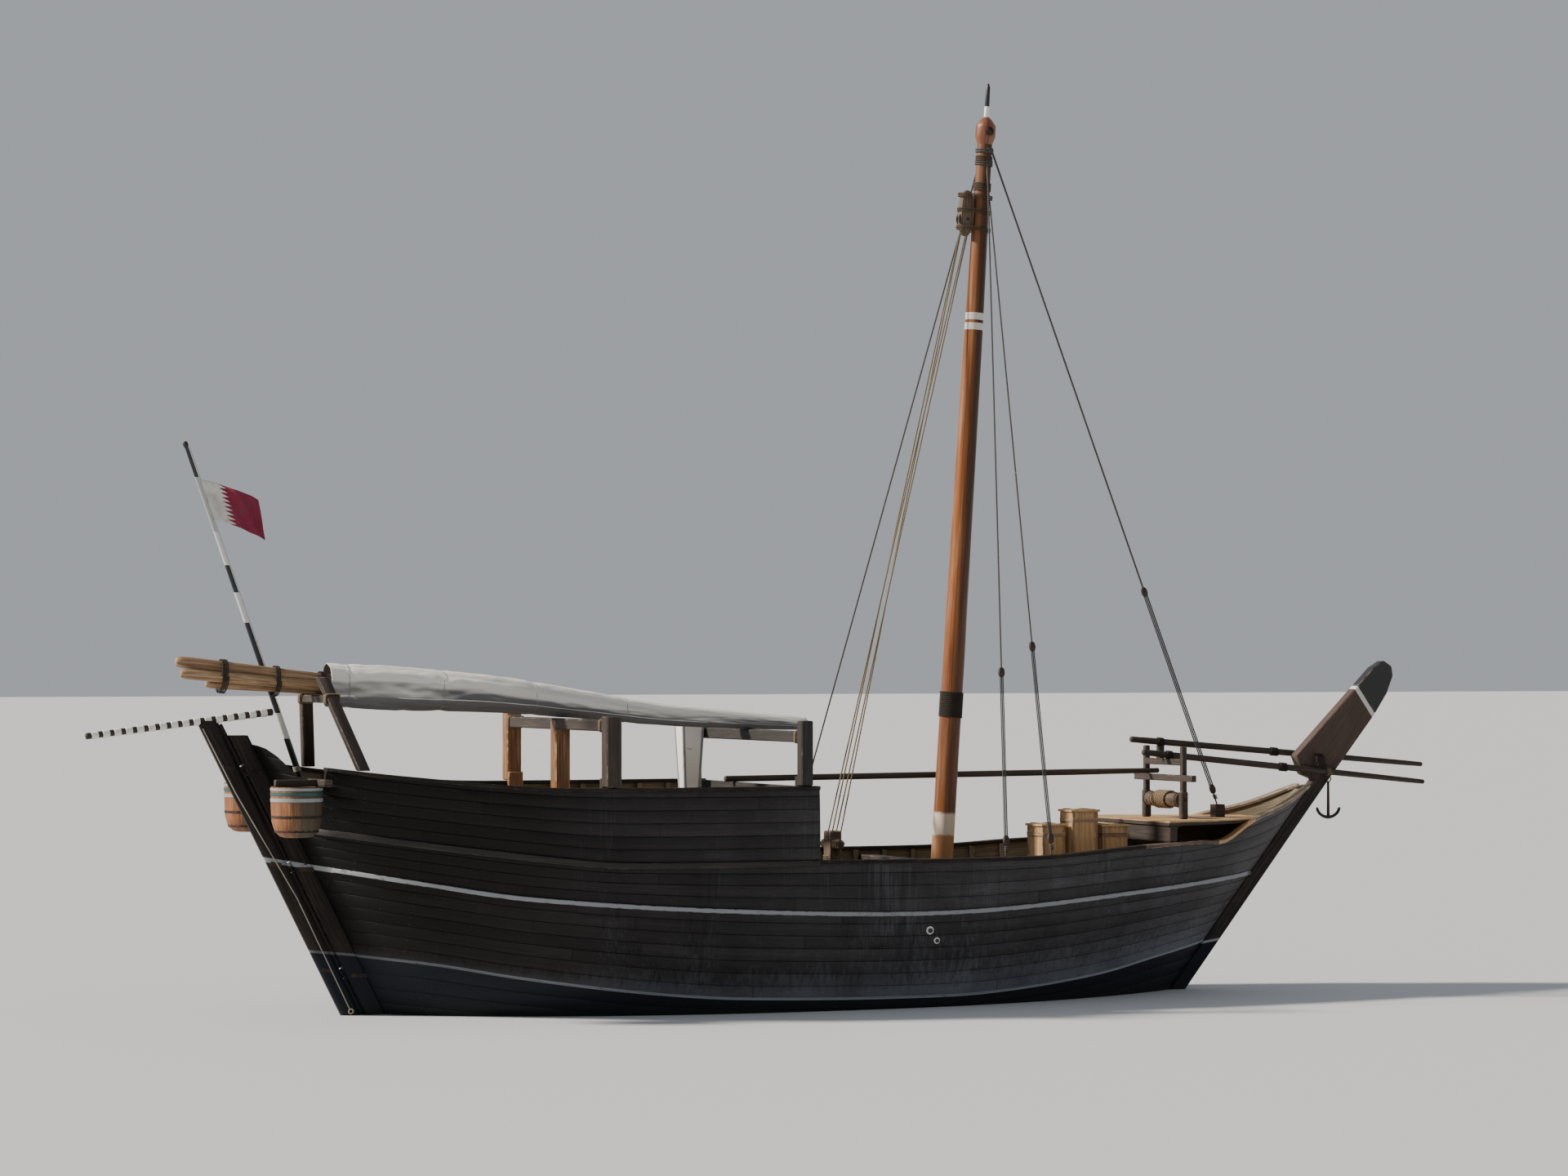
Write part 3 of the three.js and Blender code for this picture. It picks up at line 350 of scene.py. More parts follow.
# Bare, oiled and varnished timber: name, deep, middle and pale colours, worn colour, roughness from and to,
# how far edges wear and how dirty it is.
TIMBERS = (
    (
        "oiled_timber", (0.014, 0.009, 0.006), (0.036, 0.023, 0.015), (0.072, 0.047, 0.031),
        (0.14, 0.1, 0.07), 0.5, 0.8, 0.45, 0.5,
    ),
    (
        "wale_timber", (0.009, 0.007, 0.006), (0.02, 0.015, 0.012), (0.042, 0.031, 0.025),
        (0.07, 0.052, 0.042), 0.55, 0.8, 0.4, 0.5,
    ),
    (
        "weathered_timber", (0.055, 0.034, 0.021), (0.13, 0.083, 0.052), (0.22, 0.155, 0.105),
        (0.33, 0.26, 0.19), 0.6, 0.85, 0.6, 0.55,
    ),
    (
        "bright_timber", (0.12, 0.048, 0.016), (0.27, 0.12, 0.042), (0.43, 0.235, 0.1), (0.55, 0.38, 0.22),
        0.4, 0.65, 0.5, 0.4,
    ),
    (
        "spar_varnish", (0.105, 0.03, 0.012), (0.22, 0.072, 0.028), (0.33, 0.13, 0.055), (0.42, 0.24, 0.13),
        0.25, 0.5, 0.5, 0.35,
    ),
    (
        "bare_spar", (0.15, 0.082, 0.038), (0.38, 0.23, 0.115), (0.6, 0.42, 0.25), (0.66, 0.51, 0.35),
        0.5, 0.75, 0.5, 0.4,
    ),
    (
        "deck_boards", (0.13, 0.095, 0.062), (0.25, 0.19, 0.13), (0.38, 0.31, 0.23), (0.45, 0.39, 0.31),
        0.65, 0.9, 0.6, 0.6,
    ),
    (
        "box_boards", (0.36, 0.19, 0.072), (0.55, 0.335, 0.15), (0.66, 0.445, 0.235), (0.66, 0.5, 0.32),
        0.5, 0.75, 0.4, 0.2,
    ),
    # olive_timber is made paler than the wood, as painted sunlight on the planking's inner faces and the
    # timberheads, which lie in shade.
    (
        "olive_timber", (0.075, 0.055, 0.03), (0.17, 0.13, 0.07), (0.27, 0.215, 0.125), (0.34, 0.28, 0.19),
        0.55, 0.8, 0.5, 0.5,
    ),
)
# Painted timber: name, paint, stain, wood under it, share chipped off, roughness.
STRAKE_WHITE = (0.27, 0.285, 0.3)
PAINTS = (
    ("white_paint", (0.84, 0.82, 0.77), (0.42, 0.36, 0.28), (0.18, 0.125, 0.08), 0.33, 0.5),
    ("black_paint", (0.012, 0.012, 0.014), (0.05, 0.045, 0.04), (0.1, 0.07, 0.045), 0.25, 0.42),
    ("teal_paint", (0.016, 0.075, 0.078), (0.03, 0.05, 0.042), (0.1, 0.05, 0.026), 0.35, 0.5),
    ("strake_paint", STRAKE_WHITE, (0.16, 0.158, 0.157), (0.06, 0.052, 0.046), 0.34, 0.65),
)
# Ropes: name, the painted shade in the valleys between strands (also the dark hairs' colour), and the
# colours of their crests and of stains.
ROPES = (
    ("coir_rope", (0.1, 0.07, 0.038), (0.33, 0.25, 0.15), (0.14, 0.1, 0.06)),
    ("tarred_rope", (0.012, 0.01, 0.008), (0.045, 0.036, 0.028), (0.02, 0.016, 0.012)),
    ("stay_rope", (0.035, 0.034, 0.033), (0.13, 0.128, 0.124), (0.06, 0.056, 0.05)),
    ("brown_rope", (0.035, 0.024, 0.015), (0.13, 0.088, 0.052), (0.06, 0.042, 0.026)),
    ("pale_rope", (0.26, 0.24, 0.19), (0.62, 0.59, 0.5), (0.3, 0.26, 0.2)),
)


def timber_finish(name, deep, middle, pale, worn, rough_from, rough_to, wear, soil):
    look = Look(name)
    fibre = look.wood(1.5, 0.07, (deep, middle, pale))
    look.coat(span(fibre, 0.45, 0.75, 0.0, 0.6), deep)
    look.coat(look.grime(0.9, soil), [0.55 * part for part in deep])
    look.coat(look.scuffs(wear), worn)
    look.end(span(fibre, 0.3, 0.7, rough_from, rough_to), fibre, 0.004)


def painted_finish(name, paint, stain, wood, chips, rough):
    look = Look(name)
    fibre = use("wood_grain", Vector=look.own, Length=0.9, Width=0.05)["Fibre"]
    bare = calc("MAXIMUM", look.chips(0.16, chips), look.scuffs(0.55))
    look.colour = shade(look.runs(0.05, 0.5, 0.5) * 0.65, paint, stain)
    look.coat(span(fibre, 0.5, 0.8, 0.0, 0.3), stain)
    look.coat(bare, shade(fibre, wood, [1.9 * part for part in wood]))
    look.end(span(bare, 0.0, 1.0, rough, 0.85), fibre * 0.4 - bare * 0.6, 0.002)


def rope_finish(name, valley_shade_and_hair, crest, stain):
    """Laid rope: its strands are in the mesh, and each carries the mark by which painted shade darkens the
    valleys between them.
    """
    look = Look(name)
    hairs = cloud(look.place, 90.0, 4.0, 0.7)
    # Painted shade in the valleys between the strands, by the strand mark.
    look.colour = shade(span(look.mark("strand"), 0.1, 0.8), valley_shade_and_hair, crest)
    look.coat(span(hairs, 0.45, 0.7, 0.0, 0.5), valley_shade_and_hair)
    look.coat(look.grime(0.5, 0.7), stain)
    look.end(0.9, hairs, 0.002)


for make_finish, rows in ((timber_finish, TIMBERS), (painted_finish, PAINTS), (rope_finish, ROPES)):
    for row in rows:
        make_finish(*row)


def iron_finish():
    """Blackened iron with patches of rust, where it shines less like metal."""
    look = Look("black_iron")
    patch = cloud(look.place, 9.0, 6.0, 0.65)
    look.colour = shade(span(patch, 0.42, 0.6), (0.025, 0.023, 0.022), (0.05, 0.024, 0.014))
    feed(look.skin, {"Metallic": span(patch, 0.42, 0.6, 0.85, 0.1)})
    look.end(span(patch, 0.4, 0.65, 0.45, 0.9), cloud(look.place, 60.0, 3.0, 0.6), 0.002)


def canvas_finish():
    """Weathered sail canvas: sewn cloths and stains, with painted shade in the folds and a painted sunlit
    crown over a shaded underside.
    """
    look = Look("sail_canvas")
    cloth_wide, threads = 0.55, 900.0
    along, around, _ = parts_of(look.own)
    weave = calc("SINE", along * threads) * 0.5 + calc("SINE", around * threads) * 0.5
    sewn = use("plank_seams", Across=around / cloth_wide, Along=along, Length=30.0, Seam=0.02)["Seam"]
    stains = use("grime", Vector=product(look.own, (0.35, 1.6, 1.0)), Size=0.7, Amount=0.8)["Dirt"]
    up = parts_of(put(look.tree, "ShaderNodeNewGeometry", out="Normal"))[2]
    # Painted light: faces turned up are near white as if sunlit, and faces turned aside and down are
    # grey-blue painted shade.
    look.colour = shade(span(up, -0.3, 0.12), (0.19, 0.195, 0.205), (0.95, 0.91, 0.84))
    look.coat(stains * 0.16, (0.2, 0.19, 0.18))
    # Painted shade in the hollows between the pleats, by the fold mark.
    look.coat(span(look.mark("fold"), 0.0, 0.35, 0.18, 0.0), (0.1, 0.105, 0.115))
    look.coat(sewn * 0.2, (0.16, 0.15, 0.14))
    wrinkles = cloud(product(look.own, (2.2, 16.0, 1.0)), 1.0, 5.0, 0.6, 0.6)
    look.end(0.92, wrinkles + weave * 0.03, 0.03)


def bunting_finish():
    """White at the hoist and maroon at the fly, with a saw-toothed edge of nine points between them."""
    look = Look("flag_bunting")
    points, threads = 9.0, 700.0
    along, down, _ = parts_of(look.own)
    border = calc("PINGPONG", down * points, 0.5) * 0.26 + 0.3
    look.colour = shade(span(along - border, -0.004, 0.004), (0.72, 0.7, 0.66), (0.23, 0.012, 0.045))
    look.coat(look.grime(0.3, 0.35), (0.12, 0.06, 0.06))
    look.end(0.85, calc("SINE", (along + down) * threads), 0.0006)


def cask_finish():
    """Coopered staves in orange, with painted shade of dark olive over the side that faces forward, towards
    the hull.
    """
    look = Look("cask_timber")
    fibre = look.wood(0.9, 0.05, ((0.12, 0.042, 0.012), (0.27, 0.1, 0.032), (0.42, 0.19, 0.075)))
    ragged = cloud(product(look.place, (5.0, 5.0, 1.5)), 1.0, 4.0, 0.6)
    facing = parts_of(look.place)[0] + ragged * 0.3
    # Painted shade: the staves turn dark olive on the side away from the sun, with a ragged edge.
    look.coat(span(facing, -10.5, -10.24, 0.0, 0.88), (0.034, 0.037, 0.02))
    look.coat(look.runs(0.03, 0.6, 0.5) * 0.5, (0.06, 0.035, 0.018))
    look.end(span(fibre, 0.3, 0.7, 0.5, 0.8), fibre, 0.003)


def painted_bottom(look, over_line):
    """Black paint under the painted line, greener near the water, with a thin white line along its head."""
    x, _, z = parts_of(look.place)
    bottom = shade(span(z, 0.0, 0.28, 0.6, 0.0), (0.011, 0.013, 0.019), (0.018, 0.022, 0.014))
    look.coat(span(over_line, -0.002, 0.002, 1.0, 0.0), bottom)
    line = stripe_at(over_line, 0.018, 0.012, 0.85) * span(x, -8.5, -2.0, 0.32, 1.0)
    look.coat(line * (1.0 - look.chips(0.13, 0.4)), (0.37, 0.395, 0.42))


# The white stripe on the stern that carries the rubbing strake on: its height at x = 0 and its slope.
STRIPE_HEIGHT, STRIPE_SLOPE = 1.14, -0.171


def painted_stripe(look, share=1.0):
    x, _, z = parts_of(look.place)
    stripe = stripe_at(z - STRIPE_HEIGHT - x * STRIPE_SLOPE, 0.042, 0.006, share)
    look.coat(stripe * (1.0 - look.chips(0.1, 0.4)), STRAKE_WHITE)


def pale_band_over_line(look, along, over_line):
    """A pale blue-grey band over the painted line, fading upward to a ragged head, stronger towards the bow.
    """
    ragged = cloud(product(look.place, (16.0, 16.0, 0.8)), 1.0, 3.0, 0.5)
    reach = span(ragged, 0.3, 0.7, 0.5, 1.1) * span(along, -6.5, 1.0, 0.3, 1.0)
    pale_band = calc("SUBTRACT", 1.0, calc("MAXIMUM", over_line, 0.0) / reach, clamp=True)
    look.coat(calc("POWER", pale_band, 1.5) * span(along, -7.0, 2.0, 0.12, 0.85), (0.2, 0.215, 0.245))


def planking_finish():
    """Old tarred planks, paler forward and darkened by painted shade over the stern quarter, with rain runs,
    over black bottom paint and a thin white line.
    """
    look = Look("tarred_planks", DULL)
    along, strake, _ = parts_of(look.own)
    over_line = parts_of(put(look.tree, "ShaderNodeUVMap", uv_map="paint"))[1]
    seams = use("plank_seams", Across=strake, Along=along, Length=5.2, Seam=0.045, Butt=0.02)
    grain = use("wood_grain", Vector=vector_of(along, strake * 0.24), Length=1.7, Width=0.06)
    blend = seams["Tint"] * 0.4 + grain["Figure"] * 0.6
    tarred = ((0.006, 0.005, 0.0047), (0.011, 0.0092, 0.0088), (0.021, 0.0175, 0.016))
    bleached = ((0.048, 0.045, 0.047), (0.075, 0.071, 0.075), (0.11, 0.106, 0.112))
    look.colour = ramp(blend, PLANK_STOPS, tarred)
    look.coat(span(along, -7.5, 5.0), ramp(blend, PLANK_STOPS, bleached))
    look.coat(span(grain["Fibre"], 0.42, 0.72, 0.0, 0.5), (0.006, 0.005, 0.0045))
    # Painted shade over the stern quarter, darkest at the stern.
    look.coat(span(along, -10.0, -6.0, 0.62, 0.0), (0.002, 0.0018, 0.0018))
    runs = look.runs(0.035, 1.4, 0.62)
    look.coat(runs * span(along, -8.0, 4.0, 0.06, 0.62), (0.125, 0.132, 0.146))
    lower = product(look.place, (1.0, 1.0, 0.7))
    dark_runs = use("rain_runs", Vector=lower, Width=0.11, Drop=2.2, Amount=0.5)["Runs"]
    look.coat(dark_runs * 0.45, (0.005, 0.004, 0.004))
    pale_band_over_line(look, along, over_line)
    look.coat(look.grime(1.4, 0.5), (0.008, 0.006, 0.005))
    look.coat(seams["Seam"] * 0.4, (0.004, 0.0035, 0.0035))
    painted_bottom(look, over_line)
    painted_stripe(look, span(along, -9.38, -9.36, 1.0, 0.0))
    look.end(span(runs, 0.0, 1.0, 0.55, 0.85), grain["Fibre"] * 0.35 - seams["Seam"], 0.006)


def post_finish(name, tone, line_height, line_slope, blade=None):
    """Oiled timber of the keel, posts and rudder, with the painted line as its height at x = 0 and slope.

    tone is how pale the timber is. blade is how far the stem's blade is bleached over the bow, and the
    others carry the rubbing strake's stripe."""
    look = Look(name, DULL)
    x, _, z = parts_of(look.place)
    stops = ((0.012, 0.01, 0.009), (0.025, 0.02, 0.018), (0.047, 0.037, 0.032))
    fibre = look.wood(1.8, 0.07, [[tone * part for part in dark] for dark in stops])
    look.coat(span(fibre, 0.45, 0.75, 0.0, 0.6), (0.01, 0.007, 0.005))
    look.coat(look.grime(0.9, 0.5), (0.008, 0.006, 0.005))
    look.coat(look.scuffs(0.5), (0.06, 0.048, 0.04))
    if blade:
        bleached = span(fibre, 0.3, 0.7, 1.0, 0.5) * span(z, 3.9, 4.7, 0.0, blade)
        look.coat(bleached, (0.135, 0.088, 0.07))
    painted_bottom(look, z - line_height - x * line_slope)
    if blade is None:
        painted_stripe(look)
    else:
        # The white band that parts the stem blade from its black head.
        band = stripe_at(x * 0.817 + z * 0.577 - 13.84, 0.05, 0.006)
        look.coat(band * span(z, 5.0, 5.1), (0.6, 0.58, 0.54))
    look.end(span(fibre, 0.3, 0.7, 0.45, 0.75), fibre, 0.004)


def staff_finish():
    """The ensign staff's painted bands of black, grey and white, by height."""
    look = Look("staff_bands")
    white, grey, black = (0.68, 0.67, 0.63), (0.42, 0.42, 0.41), (0.014, 0.014, 0.016)
    low, high = 3.6, 10.8
    feet = (3.6, 4.4, 5.16, 5.65, 7.33, 7.88, 8.39, 9.02, 10.04)
    share = span(parts_of(look.place)[2], low, high)
    places = [(z - low) / (high - low) for z in feet]
    bands = (white, black, white, black, white, black, white, grey, black)
    look.colour = ramp(share, places, bands, "CONSTANT")
    chips = look.chips(0.07, 0.35)
    look.coat(chips, (0.16, 0.1, 0.06))
    look.coat(look.runs(0.02, 0.5, 0.4) * 0.4, (0.2, 0.17, 0.13))
    look.end(span(chips, 0.0, 1.0, 0.45, 0.8), chips, 0.001)


# Where the mast's axis starts, and how far ahead it drifts for each metre up it.
MAST_X, MAST_DRIFT = 3.306, 0.06685
RING_HEIGHTS, RING_HALF = (11.17, 11.37), 0.066


def mast_finish():
    """Varnished mast by height up it: a pale foot, rubbed varnish, painted shade on its fore side and two
    white rings.
    """
    look = Look("mast_varnish", VARNISHED)
    up = parts_of(look.own)[0]
    varnish = ((0.13, 0.038, 0.011), (0.28, 0.095, 0.027), (0.42, 0.17, 0.055))
    fibre = look.wood(2.6, 0.05, varnish, MAST_STOPS)
    look.coat(span(fibre, 0.45, 0.75, 0.0, 0.5), (0.09, 0.028, 0.012))
    rubbed = cloud(product(look.own, (0.5, 3.0, 1.0)), 1.0, 4.0, 0.6)
    look.coat(span(rubbed, 0.52, 0.7, 0.0, 0.5), (0.36, 0.19, 0.09))
    look.coat(span(up, 3.5, 5.5, 0.35, 0.0), (0.07, 0.026, 0.012))
    look.coat(span(up, 10.9, 14.0, 0.0, 0.55), (0.06, 0.028, 0.018))
    x, y, _ = parts_of(look.place)
    # Painted shade down the side that faces forward and to starboard, away from the sun, deeper higher up.
    ahead = (x - (up * MAST_DRIFT + MAST_X)) * 0.92 - y * 0.39
    look.coat(span(ahead, -0.03, 0.09) * span(up, 2.0, 8.0, 0.45, 0.9), (0.03, 0.012, 0.007))
    for middle in RING_HEIGHTS:
        look.coat(stripe_at(up - middle, RING_HALF, 0.006), (0.62, 0.6, 0.54))
    ragged = up + rubbed * 0.16
    look.coat(span(ragged, 1.56, 1.62, 1.0, 0.0), (0.62, 0.52, 0.4))
    look.coat(span(ragged, 1.14, 1.18, 0.9, 0.0), (0.32, 0.135, 0.042))
    look.end(span(rubbed, 0.4, 0.7, 0.28, 0.6), fibre, 0.003)


iron_finish()
canvas_finish()
bunting_finish()
cask_finish()
planking_finish()
post_finish("keel_timber", 1.0, -50.0, 0.0, blade=0.0)
post_finish("stern_timber", 1.1, 0.25, -0.1)
post_finish("stem_timber", 1.7, -0.43, 0.15, blade=0.6)
staff_finish()
mast_finish()

# Making pieces

# Ways in the boat's frame, and the strips of an eight-sided section that are its worn corners.
AHEAD, TO_PORT, UPWARD = (1, 0, 0), (0, 1, 0), (0, 0, 1)
CORNERS = (1, 3, 5, 7)


def start():
    """An empty piece, with a map of its own and a mark for its worn edges."""
    bm = bmesh.new()
    bm.loops.layers.uv.new("UVMap")
    bm.faces.layers.float.new("edge")
    return bm


def grid(bm, rows, ring=True, ends=True, finish=0, corners=(), worn_ends=False, shift=None):
    """A skin through rows of points, mapped in metres along and round the rows.

    ring closes each row, ends closes the first and last, and corners are the strips that are worn edges."""
    uv, edge = bm.loops.layers.uv.active, bm.faces.layers.float["edge"]
    offset = (len(bm.faces) * 0.377) % 17 if shift is None else shift
    rows = [[Vector(point) for point in row] for row in rows]
    made = [[bm.verts.new(point) for point in row] for row in rows]
    count, last = len(rows[0]), len(rows) - 1
    strips = count if ring else count - 1
    middle = rows[len(rows) // 2]
    around, along = [offset], [offset]
    for j in range(strips):
        around.append(around[-1] + (middle[(j + 1) % count] - middle[j]).length)
    for low, high in zip(rows, rows[1:]):
        along.append(along[-1] + (high[0] - low[0]).length)
    for i in range(last):
        for j in range(strips):
            k = (j + 1) % count
            face = bm.faces.new((made[i][j], made[i][k], made[i + 1][k], made[i + 1][j]))
            face.smooth, face.material_index = True, finish
            face[edge] = float(j in corners or (worn_ends and i in (0, last - 1)))
            for loop, (a, b) in zip(face.loops, ((i, j), (i, j + 1), (i + 1, j + 1), (i + 1, j))):
                loop[uv].uv = (along[a], around[b])
    if ring and ends:
        for row in (made[0], made[-1]):
            face = bm.faces.new(row)
            face.smooth, face.material_index = True, finish
            for loop in face.loops:
                loop[uv].uv = (loop.vert.co.y, loop.vert.co.z)
    return made


def axes(way, up=UPWARD):
    """Two directions square to a way, the second as near to up as it can be."""
    way = Vector(way).normalized()
    up = Vector(up) if abs(way.dot(Vector(up))) < 0.95 else Vector(AHEAD)
    across = way.cross(up).normalized()
    return across, across.cross(way)


def circle(count, first=0.0):
    """Cosine and sine at even steps round a circle."""
    angles = [2 * math.pi * (j + first) / count for j in range(count)]
    return [(math.cos(angle), math.sin(angle)) for angle in angles]


def eased_square(centre, across, rise, w, d, e):
    """Eight points of a rectangle of half widths w and d with its corners cut by e."""
    near = (
        (w, -d + e), (w, d - e), (w - e, d), (-w + e, d),
        (-w, d - e), (-w, -d + e), (-w + e, -d), (w - e, -d),
    )
    return [centre + across * s + rise * t for s, t in near]


def timber(bm, start_at, end_at, wide, deep, bevel=0.012, finish=0, up=UPWARD, taper=1.0):
    """A sawn timber with eased edges between the middles of its ends: wide across, deep towards up."""
    a, b = Vector(start_at), Vector(end_at)
    across, rise = axes(b - a, up)
    way = (b - a).normalized()
    rows = []
    for centre, size, inset in (
        (a, 1.0, bevel), (a + way * bevel, 1.0, 0.0), (b - way * bevel, taper, 0.0), (b, taper, bevel),
    ):
        w, d = wide / 2 * size - inset, deep / 2 * size - inset
        rows.append(eased_square(centre, across, rise, w, d, bevel if inset == 0 else bevel * 0.6))
    grid(bm, rows, finish=finish, corners=CORNERS, worn_ends=True)


def level_post(bm, foot, head, foot_half, head_half, bevel=0.018, finish=0):
    """A post with level ends, leaning from foot to head: its half widths are along X and Y at each end."""
    foot, head = Vector(foot), Vector(head)
    ease = bevel / (head.z - foot.z)
    rows = []
    for share, inset in ((0.0, bevel * 0.6), (ease, 0.0), (1.0 - ease, 0.0), (1.0, bevel * 0.6)):
        w, d = ((1 - share) * a + share * b - inset for a, b in zip(foot_half, head_half))
        rows.append(eased_square(foot.lerp(head, share), Vector(AHEAD), Vector(TO_PORT), w, d, bevel))
    grid(bm, rows, finish=finish, corners=CORNERS, worn_ends=True)


def spar(bm, start_at, end_at, radii, sides=24, finish=0, shift=None):
    """A round spar: radii gives pairs of the distance along it and the radius there."""
    a, b = Vector(start_at), Vector(end_at)
    across, rise = axes(b - a)
    way = (b - a).normalized()
    rows = [
        [a + way * place + (across * c + rise * s) * radius for c, s in circle(sides, 0.5)]
        for place, radius in radii
    ]
    return grid(bm, rows, finish=finish, shift=shift)


def rounded(length, radius, ease=0.01, drop=0.01):
    """Radii of a round bar of one thickness whose ends are rounded over."""
    return [(0, radius - drop), (ease, radius), (length - ease, radius), (length, radius - drop)]


def mesh_of(name, bm):
    """The mesh of the faces gathered."""
    bmesh.ops.recalc_face_normals(bm, faces=bm.faces)
    mesh = bpy.data.meshes.new(name)
    bm.to_mesh(mesh)
    bm.free()
    return mesh


def place(name, mesh, body, slot, replaces=()):
    piece = linked(name, mesh)
    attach(piece, body)
    if replaces:
        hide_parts(*replaces)
    return piece


def complete(name, bm, finishes, slot, replaces=(), body="boat", sharp=35):
    """Turns gathered faces into a piece of the boat."""
    mesh = mesh_of(name, bm)
    for finish in finishes:
        mesh.materials.append(FINISH[finish])
    mesh.set_sharp_from_angle(angle=math.radians(sharp))
    return place(name, mesh, body, slot, replaces)


def eased_copy(bm, node, bevel=0.012, finish=0, grain=None):
    """Adds a copy of a solid's mesh with its edges eased. grain is the way that its fibres run."""
    copy = bmesh.new()
    copy.from_mesh(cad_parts[node].data)
    bmesh.ops.remove_doubles(copy, verts=copy.verts, dist=1e-5)
    bmesh.ops.dissolve_limit(copy, angle_limit=math.radians(0.5), verts=copy.verts, edges=copy.edges)
    low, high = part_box(node)
    size = high - low
    way = Vector(grain).normalized() if grain else Vector([float(size[i] == max(size)) for i in range(3)])
    sharp = [e for e in copy.edges if len(e.link_faces) == 2 and e.calc_face_angle(0) > math.radians(28)]
    bevelled = bmesh.ops.bevel(
        copy, geom=sharp, offset=bevel, segments=1, affect="EDGES", profile=0.5, clamp_overlap=True
    )
    worn = set(bevelled["faces"])
    uv, edge = bm.loops.layers.uv.active, bm.faces.layers.float["edge"]
    found = {v: bm.verts.new(v.co) for v in copy.verts}
    for source in copy.faces:
        face = bm.faces.new([found[v] for v in source.verts])
        face.smooth, face.material_index = True, finish
        face[edge] = float(source in worn)
        across = source.normal.cross(way)
        u, v = (way, across.normalized()) if across.length > 0.3 else axes(way)
        for loop in face.loops:
            loop[uv].uv = (loop.vert.co.dot(u), loop.vert.co.dot(v))
    copy.free()


def eased_piece(name, node, finish, slot, bevel=0.012, grain=None, body="boat"):
    bm = start()
    eased_copy(bm, node, bevel, 0, grain)
    return complete(name, bm, [finish], slot, [node], body)


# Trees of geometry nodes for what repeats or follows a path


def shape_tree(name, inputs):
    """A geometry tree with named inputs, each as label, socket type and value."""
    tree = bpy.data.node_groups.new(name, "GeometryNodeTree")
    tree.interface.new_socket("Geometry", in_out="INPUT", socket_type="NodeSocketGeometry")
    for label, kind, value in inputs:
        socket = tree.interface.new_socket(label, in_out="INPUT", socket_type="NodeSocket" + kind)
        if value is not None:
            socket.default_value = value
    tree.interface.new_socket("Geometry", in_out="OUTPUT", socket_type="NodeSocketGeometry")
    return tree, wires_of(tree, tree.nodes.new("NodeGroupInput"))


def finish_tree(tree, geometry, material):
    real = put(tree, "GeometryNodeRealizeInstances", {"Geometry": geometry})
    coated = put(tree, "GeometryNodeSetMaterial", {"Geometry": real, "Material": material})
    feed(tree.nodes.new("NodeGroupOutput"), {0: coated})


def named(tree, name, kind="FLOAT"):
    return put(tree, "GeometryNodeInputNamedAttribute", {"Name": name}, "Attribute", data_type=kind)


def scaled(vector, size):
    return put(size.tree, "ShaderNodeVectorMath", {0: vector, "Scale": size}, operation="SCALE")


def strand_ring(tree, given):
    """A rope's section of three lobes, marked by how far out each point lies."""
    ring = put(tree, "GeometryNodeCurvePrimitiveCircle", {"Resolution": given["Sides"], "Radius": 1.0})
    share = put(tree, "GeometryNodeSplineParameter", out="Factor")
    lobe = calc("COSINE", share * (6 * math.pi))
    reach = 1.0 - given["Strand depth"] + lobe * given["Strand depth"]
    moved = scaled(put(tree, "GeometryNodeInputPosition"), reach)
    ring = put(tree, "GeometryNodeSetPosition", {"Geometry": ring, "Position": moved})
    # The strand mark runs from 0 in the valleys to 1 on the crests; the rope finishes paint shade into the
    # valleys by it.
    mark = {"Geometry": ring, "Name": "strand", "Value": lobe * 0.5 + 0.5}
    return put(tree, "GeometryNodeStoreNamedAttribute", mark)


def laid_rope_tree():
    """Three strands laid round each other along every line of points, as thick as the points say."""
    inputs = (
        ("Lay", "Float", 7.0),
        ("Step", "Float", 1.3),
        ("Sides", "Int", 12),
        ("Strand depth", "Float", 0.13),
        ("Finish", "Material", None),
    )
    tree, given = shape_tree("laid_rope", inputs)
    thick = named(tree, "thick")
    curve = put(tree, "GeometryNodeMeshToCurve", {"Mesh": given["Geometry"]})
    steps = {"Curve": curve, "Length": thick * given["Step"]}
    curve = put(tree, "GeometryNodeResampleCurve", steps, mode="LENGTH")
    length = put(tree, "GeometryNodeSplineParameter", out="Length")
    turn = length * (2 * math.pi) / (thick * given["Lay"])
    curve = put(tree, "GeometryNodeSetCurveTilt", {"Curve": curve, "Tilt": turn})
    skin = {"Curve": curve, "Profile Curve": strand_ring(tree, given), "Scale": thick, "Fill Caps": True}
    body = put(tree, "GeometryNodeCurveToMesh", skin)
    body = put(tree, "GeometryNodeSetShadeSmooth", {"Geometry": body})
    finish_tree(tree, body, given["Finish"])
    return tree


def set_out_tree():
    """Copies of a pattern set out on points, each turned and sized as its point says."""
    inputs = (
        ("Pattern", "Object", None),
        ("Size spread", "Float", 0.0),
        ("Seed", "Int", 3),
        ("Finish", "Material", None),
    )
    tree, given = shape_tree("set_out", inputs)
    shape = put(tree, "GeometryNodeObjectInfo", {"Object": given["Pattern"]}, "Geometry")
    low, high = 1.0 - given["Size spread"], given["Size spread"] + 1.0
    chance = put(tree, "FunctionNodeRandomValue", {2: low, 3: high, "Seed": given["Seed"]}, 1)
    size = scaled(named(tree, "size", "FLOAT_VECTOR"), chance)
    turn = put(tree, "FunctionNodeEulerToRotation", {0: named(tree, "turn", "FLOAT_VECTOR")})
    spots = {"Points": given["Geometry"], "Instance": shape, "Rotation": turn, "Scale": size}
    finish_tree(tree, put(tree, "GeometryNodeInstanceOnPoints", spots), given["Finish"])
    return tree


LAID_ROPE = laid_rope_tree()
SET_OUT = set_out_tree()


